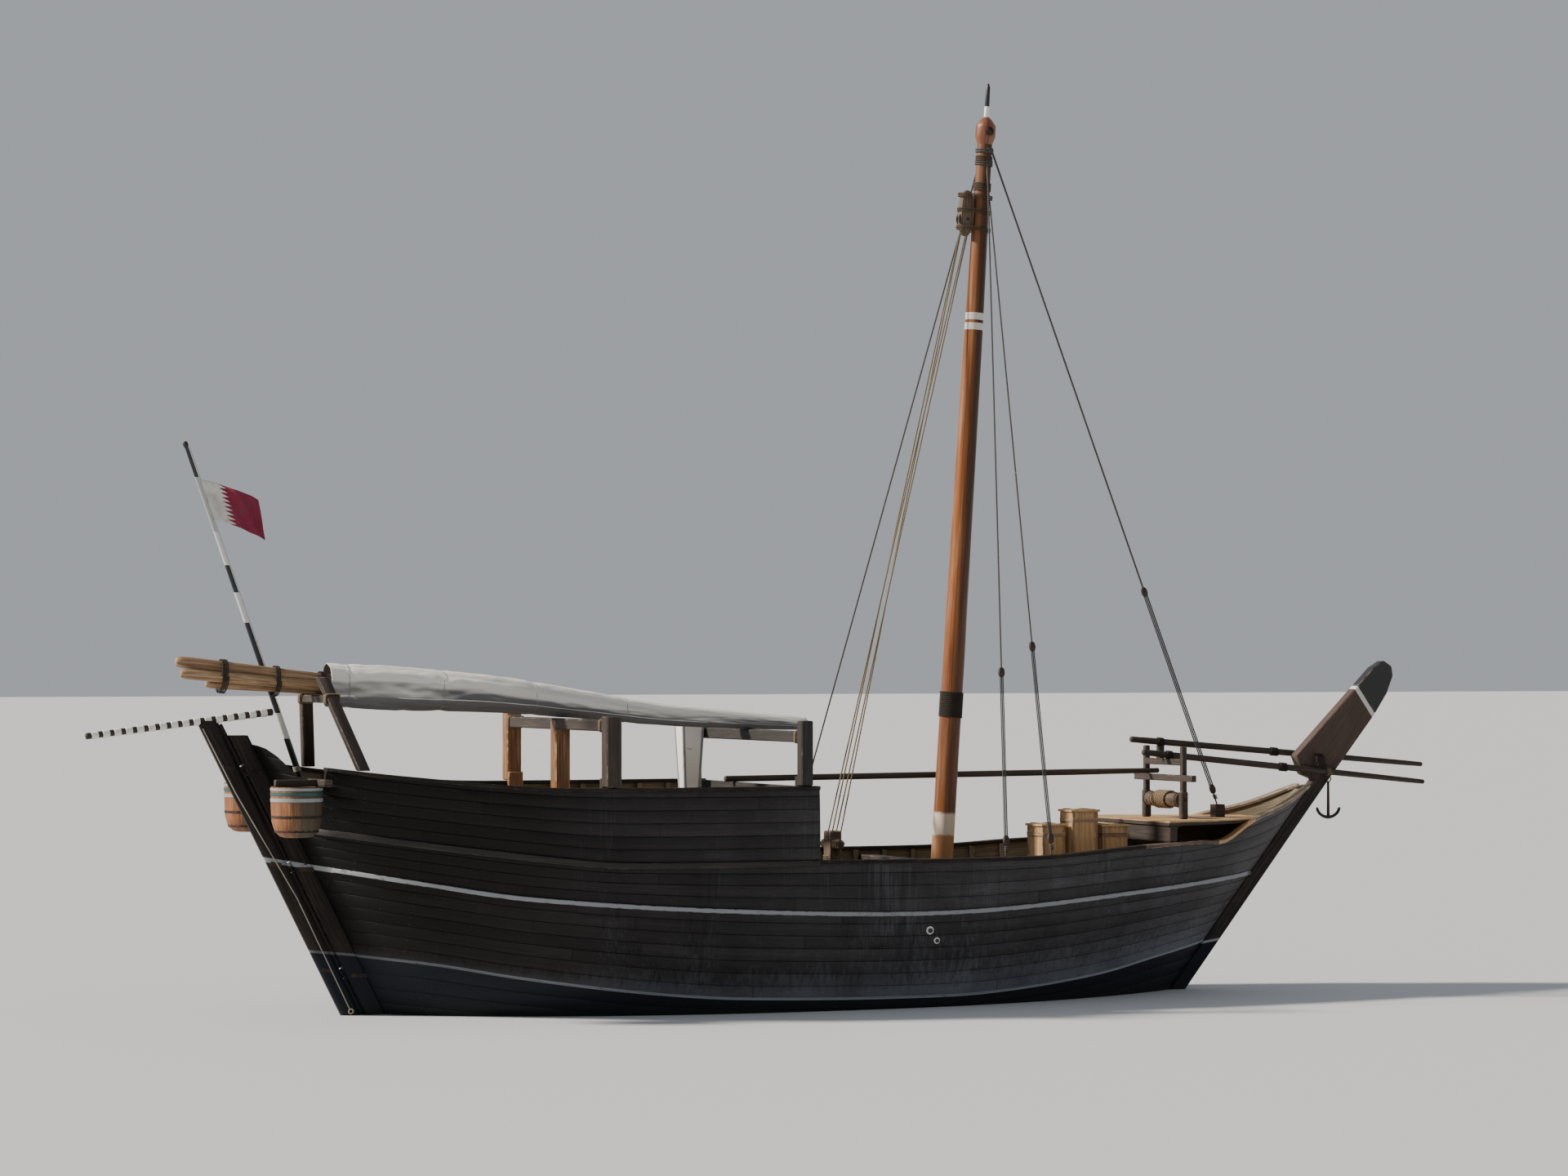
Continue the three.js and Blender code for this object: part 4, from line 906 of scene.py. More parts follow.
def worked_out(piece):
    """The plain mesh that a piece's modifiers make of it. The piece itself goes."""
    depsgraph = bpy.context.evaluated_depsgraph_get()
    mesh = bpy.data.meshes.new_from_object(
        piece.evaluated_get(depsgraph), preserve_all_data_layers=True, depsgraph=depsgraph
    )
    bpy.data.objects.remove(piece)
    return mesh


def grown(source, tree, values):
    """The plain mesh that a tree makes from a source mesh, with its named inputs set."""
    holder = linked("holder", source)
    modifier = holder.modifiers.new("growth", "NODES")
    modifier.node_group = tree
    for item in tree.interface.items_tree:
        if item.item_type == "SOCKET" and item.in_out == "INPUT" and item.name in values:
            modifier[item.identifier] = values[item.name]
    return worked_out(holder)


def ropes(name, lines, body="boat", finish="coir_rope", replaces=()):
    """Laid ropes as one piece: each line is its points and its radius."""
    mesh = bpy.data.meshes.new(name + "_lines")
    spots, edges, thick = [], [], []
    for points, radius in lines:
        first = len(spots)
        spots.extend(Vector(point) for point in points)
        edges.extend((first + i, first + i + 1) for i in range(len(points) - 1))
        thick.extend([radius] * len(points))
    mesh.from_pydata(spots, edges, [])
    mesh.attributes.new("thick", "FLOAT", "POINT").data.foreach_set("value", thick)
    made = grown(mesh, LAID_ROPE, {"Finish": FINISH[finish]})
    return place(name, made, body, "rope", replaces)


def set_out(name, pattern, copies, finish, slot, spread=0.0, seed=3):
    """Copies of a small pattern as one piece: each copy is its place, its turn and its size."""
    mould = mesh_of(name + "_pattern", pattern)
    mould.set_sharp_from_angle(angle=math.radians(35))
    shape = linked(name + "_pattern", mould)
    mesh = bpy.data.meshes.new(name + "_places")
    mesh.from_pydata([copy[0] for copy in copies], [], [])
    for label, column in (("turn", 1), ("size", 2)):
        flat = [value for copy in copies for value in copy[column]]
        mesh.attributes.new(label, "FLOAT_VECTOR", "POINT").data.foreach_set("vector", flat)
    values = {"Pattern": shape, "Size spread": spread, "Seed": seed, "Finish": FINISH[finish]}
    made = grown(mesh, SET_OUT, values)
    bpy.data.objects.remove(shape)
    return place(name, made, "boat", slot)


def turns_round(centre, way, half_across, half_up, pitch, count, steps=28, up=UPWARD, square=2):
    """Points of a rope wound round something: count turns, a pitch apart along a way.

    The turns are oval when square is 2, and hug a squared timber when it is 8."""
    across, rise = axes(way, up)
    way = Vector(way).normalized()
    points = []
    for i in range(int(count * steps) + 1):
        angle = 2 * math.pi * i / steps
        c, s = math.cos(angle), math.sin(angle)
        reach = (abs(c) ** square + abs(s) ** square) ** (-1 / square)
        shift = (i / steps - count / 2) * pitch
        points.append(Vector(centre) + way * shift + (across * c * half_across + rise * s * half_up) * reach)
    return points


def eye_round(centre, way, radius, count=1, steps=28):
    """A flat ring of rope."""
    return turns_round(centre, way, radius, radius, 0.0, count, steps)


# Hull form, as heights of [half breadth, stern power, stern root, bow power, bow root]

STERN_FOOT_X, STERN_RAKE = -8.2, -0.507
BOW_FOOT_X, BOW_RAKE = 8.35, 0.79
FULLEST = 0.49
END_HALF = 0.09
WALL = 0.12
KEEL_Z, PLANK_HEAD = -1.7, 5.2
FORM = (
    (-1.70, (0.13, 2.0, 1.2, 2.0, 1.2)),
    (-1.45, (0.90, 2.0, 1.15, 2.0, 1.15)),
    (-1.10, (1.65, 2.1, 1.05, 2.0, 1.1)),
    (-0.60, (2.25, 2.2, 0.95, 2.1, 1.0)),
    (0.00, (2.60, 2.4, 0.85, 2.2, 0.95)),
    (0.70, (2.83, 2.6, 0.75, 2.3, 0.9)),
    (1.50, (2.96, 2.8, 0.68, 2.4, 0.85)),
    (2.50, (3.00, 3.0, 0.6, 2.5, 0.8)),
    (3.60, (3.00, 3.3, 0.53, 2.6, 0.75)),
    (4.60, (2.95, 3.4, 0.5, 2.7, 0.72)),
    (5.20, (2.90, 3.5, 0.48, 2.8, 0.7)),
)


def slope_at(line, i):
    low, high = max(i - 1, 0), min(i + 1, len(line) - 1)
    return (line[high][1] - line[low][1]) / (line[high][0] - line[low][0])


def eased(line, x):
    """Value at x of a fair curve through (x, value) points, carried on straight past its ends."""
    if x <= line[0][0]:
        return line[0][1] + (x - line[0][0]) * slope_at(line, 0)
    if x >= line[-1][0]:
        return line[-1][1] + (x - line[-1][0]) * slope_at(line, len(line) - 1)
    i = 1
    while x > line[i][0]:
        i += 1
    (x0, y0), (x1, y1) = line[i - 1], line[i]
    step, t = x1 - x0, (x - x0) / (x1 - x0)
    m0, m1 = slope_at(line, i - 1) * step, slope_at(line, i) * step
    from_low = (2 * t**3 - 3 * t**2 + 1) * y0 + (t**3 - 2 * t**2 + t) * m0
    return from_low + (3 * t**2 - 2 * t**3) * y1 + (t**3 - t**2) * m1


def straight(line, x):
    """Value at x on straight stretches between (x, value) points."""
    i = 1
    while i < len(line) - 1 and x > line[i][0]:
        i += 1
    (x0, y0), (x1, y1) = line[i - 1], line[i]
    return y0 + (y1 - y0) * (x - x0) / (x1 - x0)


FORM_LINES = [[(z, row[k]) for z, row in FORM] for k in range(5)]
FORM_CACHE = {}


def form_at(z):
    z = min(max(z, KEEL_Z), PLANK_HEAD)
    if z not in FORM_CACHE:
        FORM_CACHE[z] = [eased(line, z) for line in FORM_LINES]
    return FORM_CACHE[z]


def stern_end(z):
    return STERN_FOOT_X + STERN_RAKE * z


def bow_end(z):
    return BOW_FOOT_X + BOW_RAKE * z


def half_breadth(x, z):
    """Half breadth of the planking's outer face."""
    half, stern_power, stern_root, bow_power, bow_root = form_at(z)
    middle = stern_end(z) + (bow_end(z) - stern_end(z)) * FULLEST
    aft = x < middle
    end_x = stern_end(z) if aft else bow_end(z)
    share = min(max((x - middle) / (end_x - middle), 0.0), 1.0)
    power, root = (stern_power, stern_root) if aft else (bow_power, bow_root)
    return END_HALF + (half - END_HALF) * (1 - share**power) ** root


def hull_normal(x, z, side):
    step = 0.02
    across = (half_breadth(x + step, z) - half_breadth(x - step, z)) / (2 * step)
    up = (half_breadth(x, z + step) - half_breadth(x, z - step)) / (2 * step)
    return Vector((-across, side, -up)).normalized()


SIDES = (("starboard", -1), ("port", 1))
QUARTER_RAIL = ((-9.75, 4.67), (-8.5, 4.52), (-6.0, 4.30), (-4.0, 4.27), (-0.55, 4.27))
MAIN_RAIL = (
    (-0.5497, 2.87), (4.2, 2.87), (6.3, 3.0), (8.2, 3.07), (8.85, 3.07), (9.6, 3.45), (10.6, 3.74),
    (11.45, 4.11),
)
STERN_FIN = (
    (-10.05, 4.33), (-10.15, 4.48), (-10.3, 4.66), (-10.48, 4.86), (-10.65, 5.01), (-10.85, 5.12),
    (-11.4, 5.2),
)
WHITE_STRAKE = (
    (-9.4, 2.8), (-8.0, 2.56), (-6.1, 2.27), (-2.0, 1.98), (2.3, 1.88), (6.8, 2.15), (10.15, 2.38),
)
WALE = ((-9.9, 3.56), (-7.8, 3.26), (-5.6, 2.99), (-4.5, 2.89), (-0.56, 2.87))
PAINT_LINE = (
    (-9.2, 1.16), (-7.7, 1.0), (-6.1, 0.73), (-4.0, 0.45), (-2.0, 0.29), (2.3, 0.22), (4.0, 0.3), (6.0, 0.5),
    (7.5, 0.75), (9.3, 1.0),
)
SHEER = (*WALE[:-1], (-0.5, 2.87), (4.2, 2.87), (6.3, 3.0), (8.2, 3.1), (9.6, 3.3), (11.4, 3.8))
HEAD = (
    (-10.9, 5.2), (-9.75, 4.82), (-8.5, 4.6), (-6.0, 4.38), (-4.0, 4.33), (4.0, 4.33), (8.0, 4.4),
    (11.6, 4.75),
)
# Strake numbers of the lines that the planking follows, from the keel up.
LEVELS = ((0, None), (14, PAINT_LINE), (21, WHITE_STRAKE), (25, SHEER), (31, HEAD))
STRAKES = 31
STATIONS = 96
SEAM_HALF, SEAM_DEEP = 0.035, 0.007
RAIL_THICK = 0.07
# The rails are dark, then weathered, tan and grey ahead of these places.
PALER_FROM = (6.6, 8.75, 9.7)


def strake_height(number, x):
    """Height of a plank seam at x, by its number."""
    i = 1
    while i < len(LEVELS) - 1 and number > LEVELS[i][0]:
        i += 1
    (n0, low), (n1, high) = LEVELS[i - 1], LEVELS[i]
    share = (number - n0) / (n1 - n0)
    foot = KEEL_Z if low is None else eased(low, x)
    if low is None:
        share **= 1.5
    return foot + (eased(high, x) - foot) * share


def hull_ring(number, inset):
    """One seam's points round the hull, drawn in by an inset, with their height over the painted line."""
    starboard, port = [], []
    for i in range(STATIONS + 1):
        share = (1 - math.cos(math.pi * i / STATIONS)) / 2
        z = 1.0
        for _ in range(6):
            x = stern_end(z) + (bow_end(z) - stern_end(z)) * share
            z = min(strake_height(number, x), PLANK_HEAD)
        run = inset * 1.2 if inset > 0.02 else 0.0
        x = stern_end(z) + run + (bow_end(z) - stern_end(z) - 2 * run) * share
        y = max(half_breadth(x, z) - inset, 0.02)
        over = z - eased(PAINT_LINE, x)
        starboard.append((x, -y, z, over, number))
        port.append((x, y, z, over, number))
    return starboard + port[::-1]


def skin_outline():
    """The hull seen from the side, from far below it up to the undersides of its rails, as (x, z)."""
    far, lower, count = 30.0, RAIL_THICK + 0.0003, 40

    def along(line, last):
        first = line[0][0]
        xs = [first + (last - first) * i / count for i in range(count + 1)]
        return [(x, eased(line, x) - lower) for x in xs]

    main = along(MAIN_RAIL, 12.6)
    quarter = along(QUARTER_RAIL, QUARTER_RAIL[-1][0])
    cut = [(far, main[-1][1]), *main[::-1], *quarter[::-1], (-9.75, 4.33), *STERN_FIN]
    return [(-far, -far), (far, -far), *cut, (-far, 5.2)]


def prism(name, outline, half_wide):
    """A solid with an outline in X and Z, reaching the same way to port and starboard."""
    bm = bmesh.new()
    near = [bm.verts.new((x, -half_wide, z)) for x, z in outline]
    far = [bm.verts.new((x, half_wide, z)) for x, z in outline]
    bm.faces.new(near)
    bm.faces.new(far[::-1])
    for i in range(len(outline)):
        k = (i + 1) % len(outline)
        bm.faces.new((near[i], far[i], far[k], near[k]))
    return linked(name, mesh_of(name, bm))


def skin_rings():
    """Rings of points up the planking's inner face, and down over seams and planks of its outer face."""
    inner = [hull_ring(number, WALL) for number in (0.9, *range(2, STRAKES - 1, 2), STRAKES)]
    outer = [hull_ring(STRAKES, 0.0), hull_ring(STRAKES - 0.5, 0.0)]
    for seam in range(STRAKES - 1, 0, -1):
        outer.append(hull_ring(seam + SEAM_HALF, 0.0))
        outer.append(hull_ring(seam, SEAM_DEEP))
        outer.append(hull_ring(seam - SEAM_HALF, 0.0))
        outer.append(hull_ring(seam - 0.5, 0.0))
    outer.append(hull_ring(0, 0.0))
    return inner, outer


def whole_skin():
    """Planks from keel to head with a caulked seam between each two, and their inner face."""
    bm = start()
    uv = bm.loops.layers.uv.active
    paint = bm.loops.layers.uv.new("paint")
    inner, outer = skin_rings()
    rings = inner + outer
    made = [[bm.verts.new(row[:3]) for row in ring] for ring in rings]
    count = len(rings[0])

    def face_of(places, finish):
        face = bm.faces.new([made[i][j] for i, j in places])
        face.smooth, face.material_index = True, finish
        for loop, (i, j) in zip(face.loops, places):
            x, _, _, over, number = rings[i][j]
            loop[uv].uv, loop[paint].uv = (x, number), (x, over)

    for i in range(len(rings) - 1):
        for j in range(count):
            k = (j + 1) % count
            face_of(((i, j), (i, k), (i + 1, k), (i + 1, j)), int(i < len(inner)))
    for i in (0, len(rings) - 1):
        for j in range(STATIONS):
            face_of(((i, j), (i, j + 1), (i, count - 2 - j), (i, count - 1 - j)), int(i == 0))
    mesh = mesh_of("planked_skin", bm)
    for finish in ("tarred_planks", "olive_timber", "keel_timber"):
        mesh.materials.append(FINISH[finish])
    return linked("whole_skin", mesh)


def planked_skin():
    """The planking, cut off under the rails, with the cut faces in dark timber."""
    whole = whole_skin()
    cutter = prism("skin_outline", skin_outline(), 6.0)
    cut = whole.modifiers.new("cut", "BOOLEAN")
    cut.operation, cut.solver, cut.object = "INTERSECT", "EXACT", cutter
    trimmed = worked_out(whole)
    bpy.data.objects.remove(cutter)
    over = trimmed.uv_layers["paint"].data
    for face in trimmed.polygons:
        if all(over[i].uv.length < 1e-9 for i in face.loop_indices):
            face.material_index = 2
    trimmed.set_sharp_from_angle(angle=math.radians(45))
    nodes = ["hull_bottom"]
    for word, _ in SIDES:
        nodes += ["hull_side_" + word, "quarter_bulwark_" + word, "waist_bulwark_" + word]
    place("planked_skin", trimmed, "boat", "tarred_hull", nodes)


planked_skin()


def bent_plank(bm, line, side, inner, outer, deep, top=0.0, under=None):
    """A plank bent round the hull with its upper face on a line, between two distances outside it."""
    step, bevel = 0.2, 0.012
    first, last = line[0][0], line[-1][0]
    count = max(2, round((last - first) / step))
    rows = []
    for i in range(count + 1):
        x = first + (last - first) * i / count
        high = eased(line, x) + top
        half = half_breadth(x, high - deep / 2 if under is None else under)
        near, far = max(half + inner, 0.02), half + outer
        e, low = min(bevel, (far - near) / 3), high - deep
        section = (
            (far, low + e), (far, high - e), (far - e, high), (near + e, high),
            (near, high - e), (near, low + e), (near + e, low), (far - e, low),
        )
        rows.append([(x, side * y, z) for y, z in section])
    grid(bm, rows, corners=CORNERS, worn_ends=True)


DARK_TO_GREY = ("keel_timber", "weathered_timber", "box_boards", "deck_boards")
TRIMS = (
    # name, line, from and to outside the planking, depth, top over the line, finishes, slot
    ("quarter_rail", QUARTER_RAIL, -0.2, 0.045, RAIL_THICK, 0.0, ("keel_timber",), "weathered_timber"),
    ("main_rail", MAIN_RAIL, -0.2, 0.045, RAIL_THICK, 0.0, DARK_TO_GREY, "weathered_timber"),
    ("rubbing_strake", WHITE_STRAKE, -0.02, 0.045, 0.085, -0.005, ("strake_paint",), "white_paint"),
    ("wale", WALE, -0.02, 0.045, 0.12, 0.0, ("wale_timber",), "weathered_timber"),
)


def hull_trim():
    """Rails, white rubbing strakes and wales, one piece a side for each."""
    for name, line, inner, outer, deep, top, finishes, slot in TRIMS:
        for word, side in SIDES:
            bm = start()
            bent_plank(bm, line, side, inner, outer, deep, top)
            for face in bm.faces:
                x = face.calc_center_median().x
                face.material_index = min(sum(x > place for place in PALER_FROM), len(finishes) - 1)
            complete("{}_plank_{}".format(name, word), bm, finishes, slot, ["{}_{}".format(name, word)])


hull_trim()

# Ways of the grain along the raked stem and sternpost.
STEM_WAY, STERN_WAY = (0.62, 0, 0.78), (-0.507, 0, 1)
eased_piece("keel_baulk", "keel", "keel_timber", "tarred_hull")
eased_piece("stem_blade", "stem_post", "stem_timber", "dark_timber", 0.02, STEM_WAY)
eased_piece("stem_tip", "stem_head", "black_paint", "black_paint", 0.02, STEM_WAY)
eased_piece("sternpost_baulk", "stern_post", "stern_timber", "tarred_hull", 0.008, STERN_WAY)
eased_piece("rudder_blade", "rudder", "stern_timber", "tarred_hull", 0.008, STERN_WAY, "rudder")
eased_piece("mast_thwart_timber", "mast_thwart", "oiled_timber", "dark_timber", 0.02, TO_PORT)
eased_piece("coaming_timbers", "hatch_coaming", "oiled_timber", "dark_timber", 0.012)
eased_piece("foredeck_beam_timber", "foredeck_beam", "oiled_timber", "dark_timber", 0.02)

# Decks

DECKS = (
    # name, node, from x, to x, height of the boards, their width, rectangles left open as x0, x1, y0, y1,
    # and the boards' finish
    ("main_deck_boards", "main_deck", -0.81, 9.75, 2.1, 0.17, ((1.43, 2.57, -0.77, 0.77),), "deck_boards"),
    ("quarterdeck_boards", "quarterdeck", -9.85, -0.65, 3.7, 0.16, (), "deck_boards"),
    ("foredeck_boards", "foredeck", 7.3, 10.7, 3.45, 0.18, (), "box_boards"),
)
BOARD_THICK = 0.015
# Open joints between boards' sides and between their ends.
SIDE_JOINT, END_JOINT = 0.006, 0.0015
SHORTEST_BOARD = 0.6


def open_runs(first, last, low, high, holes):
    """Stretches of x that a board between two values of y can take, clear of the holes."""
    runs = [(first, last)]
    for x0, x1, y0, y1 in holes:
        if low < y1 and high > y0:
            parts = [part for a, b in runs for part in ((a, min(b, x0)), (max(a, x1), b))]
            runs = [part for part in parts if part[1] - part[0] > 0.05]
    return runs


def lay_boards(bm, rng, a, b, y, top, wide):
    """One row of deck boards end to end, cut to lengths by chance."""
    cut = a + rng.uniform(1.2, 4.8)
    middle = (y, top - BOARD_THICK / 2)
    while a < b - 0.02:
        stop = min(cut, b)
        if b - stop < SHORTEST_BOARD:
            stop = b
        ends = (a + END_JOINT, *middle), (stop - END_JOINT, *middle)
        timber(bm, *ends, wide - SIDE_JOINT, BOARD_THICK, 0.003)
        a, cut = stop, stop + rng.uniform(3.2, 5.2)


def deck_boards(name, node, first, last, top, wide, holes, finish):
    """A deck of boards on caulk, with a margin plank along each side."""
    bm = start()
    rng = random.Random(len(name))
    rows = int(3.0 / wide)
    xs = [first + 0.04 * i for i in range(int((last - first) / 0.04) + 1)]
    for k in range(-rows, rows):
        low, high = k * wide, (k + 1) * wide
        outer = max(abs(low), abs(high)) + 0.02
        inside = [x for x in xs if half_breadth(x, top) - WALL > outer]
        if inside:
            for a, b in open_runs(inside[0], inside[-1], low, high, holes):
                lay_boards(bm, rng, a, b, (low + high) / 2, top, wide)
    for _, side in SIDES:
        line = [(x, top + 0.012) for x in (first, (first + last) / 2, last - 0.3)]
        bent_plank(bm, line, side, -0.32, -WALL - 0.002, 0.03, under=top)
    caulk = len(bm.faces)
    eased_copy(bm, node, 0.002, 1, AHEAD)
    bm.faces.ensure_lookup_table()
    lowered = {v for face in bm.faces[caulk:] for v in face.verts if top - 0.004 < v.co.z < top + 0.001}
    for v in lowered:
        v.co.z -= BOARD_THICK - 0.002
    complete(name, bm, [finish, "oiled_timber"], "deck_planks", [node])


for row in DECKS:
    deck_boards(*row)

# Cabin, door and hatch

# A door's foot, and the open joint between two upright boards.
DOOR_FOOT, JOINT = 2.19, 0.004


def upright(bm, x, y0, y1, foot, head, thick):
    """An upright board of a wall across the boat."""
    middle = (y0 + y1) / 2
    timber(bm, (x, middle, foot), (x, middle, head), abs(y1 - y0) - JOINT, thick, 0.004, up=AHEAD)


def cabin_front():
    """The cabin's boarded front with battens, and the frame of its doorway."""
    low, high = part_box("cabin_bulkhead")
    _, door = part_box("cabin_door")
    x, thick, board = (low.x + high.x) / 2 - 0.006, 0.03, 0.2
    bm = start()
    rows = int((high.y - 0.02) / board)
    for k in range(-rows - 1, rows + 1):
        y0, y1 = max(k * board, low.y), min((k + 1) * board, high.y)
        near, far = sorted((abs(y0), abs(y1)))
        over_door = near < door.y - 0.005 and far <= door.y + 0.19
        foot = door.z + 0.01 if over_door else low.z
        if over_door and far > door.y + 0.01:
            side = 1 if y0 > 0 else -1
            upright(bm, x, side * (door.y + 0.01), side * far, low.z, foot, thick)
        upright(bm, x, y0, y1, foot, high.z, thick)
    for z in (low.z + 0.09, high.z - 0.09):
        for _, side in SIDES:
            inner = door.y + 0.02 if z < door.z else 0.0
            ends = (x + 0.02, side * inner, z), (x + 0.02, side * (high.y - 0.02), z)
            timber(bm, *ends, 0.03, 0.14, 0.006, 1)
    frame_x = x + 0.016
    for _, side in SIDES:
        y = side * (door.y + 0.045)
        timber(bm, (frame_x, y, low.z), (frame_x, y, door.z + 0.07), 0.07, 0.05, 0.008, 1, up=AHEAD)
    lintel = (frame_x, -0.45, door.z + 0.045), (frame_x, 0.45, door.z + 0.045)
    timber(bm, *lintel, 0.05, 0.07, 0.008, 1)
    finishes = ["weathered_timber", "oiled_timber"]
    complete("cabin_front", bm, finishes, "weathered_timber", ["cabin_bulkhead"])


def cabin_door_leaf():
    """A door of five boards with three battens, two hinge straps, their pin and a rope becket."""
    low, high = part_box("cabin_door")
    x = (low.x + high.x - 0.007) / 2
    bm = start()
    board = (high.y - low.y) / 5
    for k in range(5):
        y = low.y + board * (k + 0.5)
        timber(bm, (x + 0.004, y, DOOR_FOOT), (x + 0.004, y, high.z), board - 0.003, 0.026, 0.004, up=AHEAD)
    rails = (DOOR_FOOT + 0.18, (DOOR_FOOT + high.z) / 2, high.z - 0.18)
    for z in rails:
        timber(bm, (x - 0.014, low.y + 0.02, z), (x - 0.014, high.y - 0.02, z), 0.014, 0.12, 0.003, 1)
    for z in rails[::2]:
        timber(bm, (x + 0.019, low.y + 0.12, z), (x + 0.019, high.y - 0.01, z), 0.006, 0.05, 0.002, 2)
    pin = (-0.745, 0.372)
    radii = rounded(0.064, 0.007, 0.004, 0.003)
    spar(bm, (*pin, DOOR_FOOT - 0.006), (*pin, DOOR_FOOT + 0.06), radii, 12, 2)
    finishes = ["bright_timber", "weathered_timber", "black_iron"]
    complete("cabin_door_leaf", bm, finishes, "bright_timber", ["cabin_door"], "door")
    ring = eye_round((x + 0.03, low.y + 0.09, 2.8), AHEAD, 0.035)
    ropes("door_becket", [(ring, 0.006)], "door", "pale_rope")


def below_decks():
    """Boards of the cabin's floor and of the hold's floor, with the cabin's after wall."""
    bm = start()
    aft, fore = -6.2, -0.83
    for k in range(-8, 8):
        y = (k + 0.5) * 0.2
        timber(bm, (aft, y, 2.165), (fore, y, 2.165), 0.194, 0.03, 0.004)
    for k in range(-8, 8):
        y = (k + 0.5) * 0.2
        timber(bm, (aft, y, 2.18), (aft, y, 3.62), 0.194, 0.03, 0.004, 1, up=AHEAD)
    for k in range(-8, 8):
        y = (k + 0.5) * 0.22
        timber(bm, (-0.3, y, 0.685), (5.6, y, 0.685), 0.214, 0.03, 0.004)
    complete("cabin_and_hold_floors", bm, ["deck_boards", "weathered_timber"], "deck_planks")


def hatch():
    """The hatch cover's boards on two battens, with a rope becket near each corner."""
    low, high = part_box("hatch_cover")
    bm = start()
    count = 8
    board = (high.y - low.y) / count
    z = (low.z + high.z) / 2 - 0.008
    for k in range(count):
        y = low.y + board * (k + 0.5)
        timber(bm, (low.x, y, z), (high.x, y, z), board - 0.005, 0.044, 0.006)
    battens, head = (low.x + 0.22, high.x - 0.22), high.z - 0.008
    for x in battens:
        timber(bm, (x, low.y + 0.03, head), (x, high.y - 0.03, head), 0.12, 0.016, 0.004, 1)
    finishes = ["weathered_timber", "oiled_timber"]
    complete("hatch_boards", bm, finishes, "weathered_timber", ["hatch_cover"], "hatch")
    spots = [(x, y, high.z + 0.012) for x in battens for y in (low.y + 0.2, high.y - 0.2)]
    rings = [(turns_round(spot, AHEAD, 0.05, 0.02, 0.0, 1), 0.008) for spot in spots]
    ropes("hatch_beckets", rings, "hatch", "coir_rope")


cabin_front()
cabin_door_leaf()
below_decks()
hatch()


def timberheads():
    """Frames that stand against the inner faces of the bulwarks, from deck to rail."""
    pattern = start()
    timber(pattern, (0, 0, 0), (0, 0, 1), 0.1, 0.085, 0.01, up=TO_PORT)
    copies = []
    inward = WALL + 0.055
    stretches = ((-9.3, -0.75, 3.7, QUARTER_RAIL, 0.6), (-0.35, 9.4, 2.1, MAIN_RAIL, 0.58))
    for first, last, foot, rail, spacing in stretches:
        count = int((last - first) / spacing)
        for i in range(count + 1):
            x = first + (last - first) * i / count
            head = eased(rail, x) - RAIL_THICK
            low, high = half_breadth(x, foot) - inward, half_breadth(x, head) - inward
            if low < 0.25:
                continue
            tangent = math.atan2(half_breadth(x + 0.05, foot) - half_breadth(x - 0.05, foot), 0.1)
            for _, side in SIDES:
                lean = -side * math.atan2(high - low, head - foot)
                copies.append(((x, side * low, foot), (lean, 0.0, side * tangent), (1.0, 1.0, head - foot)))
    set_out("timberheads", pattern, copies, "olive_timber", "weathered_timber")


def plank_nails():
    """Rows of nail heads where each frame crosses each plank of the topsides."""
    pattern = start()
    spar(pattern, (0, 0, -0.004), (0, 0, 0.006), [(0.0, 0.011), (0.006, 0.011), (0.01, 0.006)], 6)
    copies = []
    for i in range(42):
        x = -9.6 + 0.5 * i
        top = eased(QUARTER_RAIL, x) if x < -0.55 else eased(MAIN_RAIL, x)
        for number in range(13, STRAKES):
            for share in (0.2, 0.8):
                z = strake_height(number + share, x)
                ends = stern_end(z) + 0.15 < x < bow_end(z) - 0.15
                if z > top - 0.14 or z < -0.2 or not ends:
                    continue
                for _, side in SIDES:
                    normal = hull_normal(x, z, side)
                    spot = (x, side * half_breadth(x, z), z)
                    turn = normal.to_track_quat("Z", "Y").to_euler()
                    copies.append((spot, tuple(turn), (1.0, 1.0, 1.0)))
    set_out("plank_nails", pattern, copies, "black_iron", "iron", spread=0.15, seed=8)


timberheads()
plank_nails()

# Mast and masthead

MAST_FOOT, MAST_BASE = 2.1003, 2.1
MAST_SLOPE = 0.067
MAST_LENGTH = 14.8
MAST_RADII = ((0.0, 0.22), (5.9, 0.21), (11.3, 0.18), (14.4, 0.15), (14.8, 0.15))
STAY_TOP = 14.6
MAST_LASHINGS = (
    # name, finish, and heights up the mast with counts of turns
    ("mast_lashing", "tarred_rope", ((3.66, 18),)),
    ("masthead_lashings", "brown_rope", ((13.95, 6), (14.5, 5))),
)


def mast_point(height, aft=0.0, side=0.0):
    """A point up the mast's axis, moved aft and to port of it."""
    rake = math.atan(MAST_SLOPE)
    x = MAST_X + height * math.sin(rake) - aft * math.cos(rake)
    return Vector((x, side, MAST_BASE + height * math.cos(rake) + aft * math.sin(rake)))


MAST_WAY = mast_point(1) - mast_point(0)


def mast_radius(height):
    return eased(MAST_RADII, height)


def mast_spar():
    """The mast, a little uneven as hewn timber is, and level at its foot."""
    bm = start()
    across, rise = axes(MAST_WAY)
    steps, sides = 60, 40
    rings = []
    for i in range(steps + 1):
        height = MAST_LENGTH * i / steps
        row = []
        for c, s in circle(sides):
            bump = noise.noise(Vector((c, s, height * 0.5))) * 0.006
            row.append(mast_point(height) + (across * c + rise * s) * (mast_radius(height) + bump))
        rings.append(row)
    made = grid(bm, rings, shift=0.0)
    for v in made[0]:
        v.co.z = MAST_FOOT
    complete("mast_spar", bm, ["mast_varnish"], "varnished_spar", ["mast"])


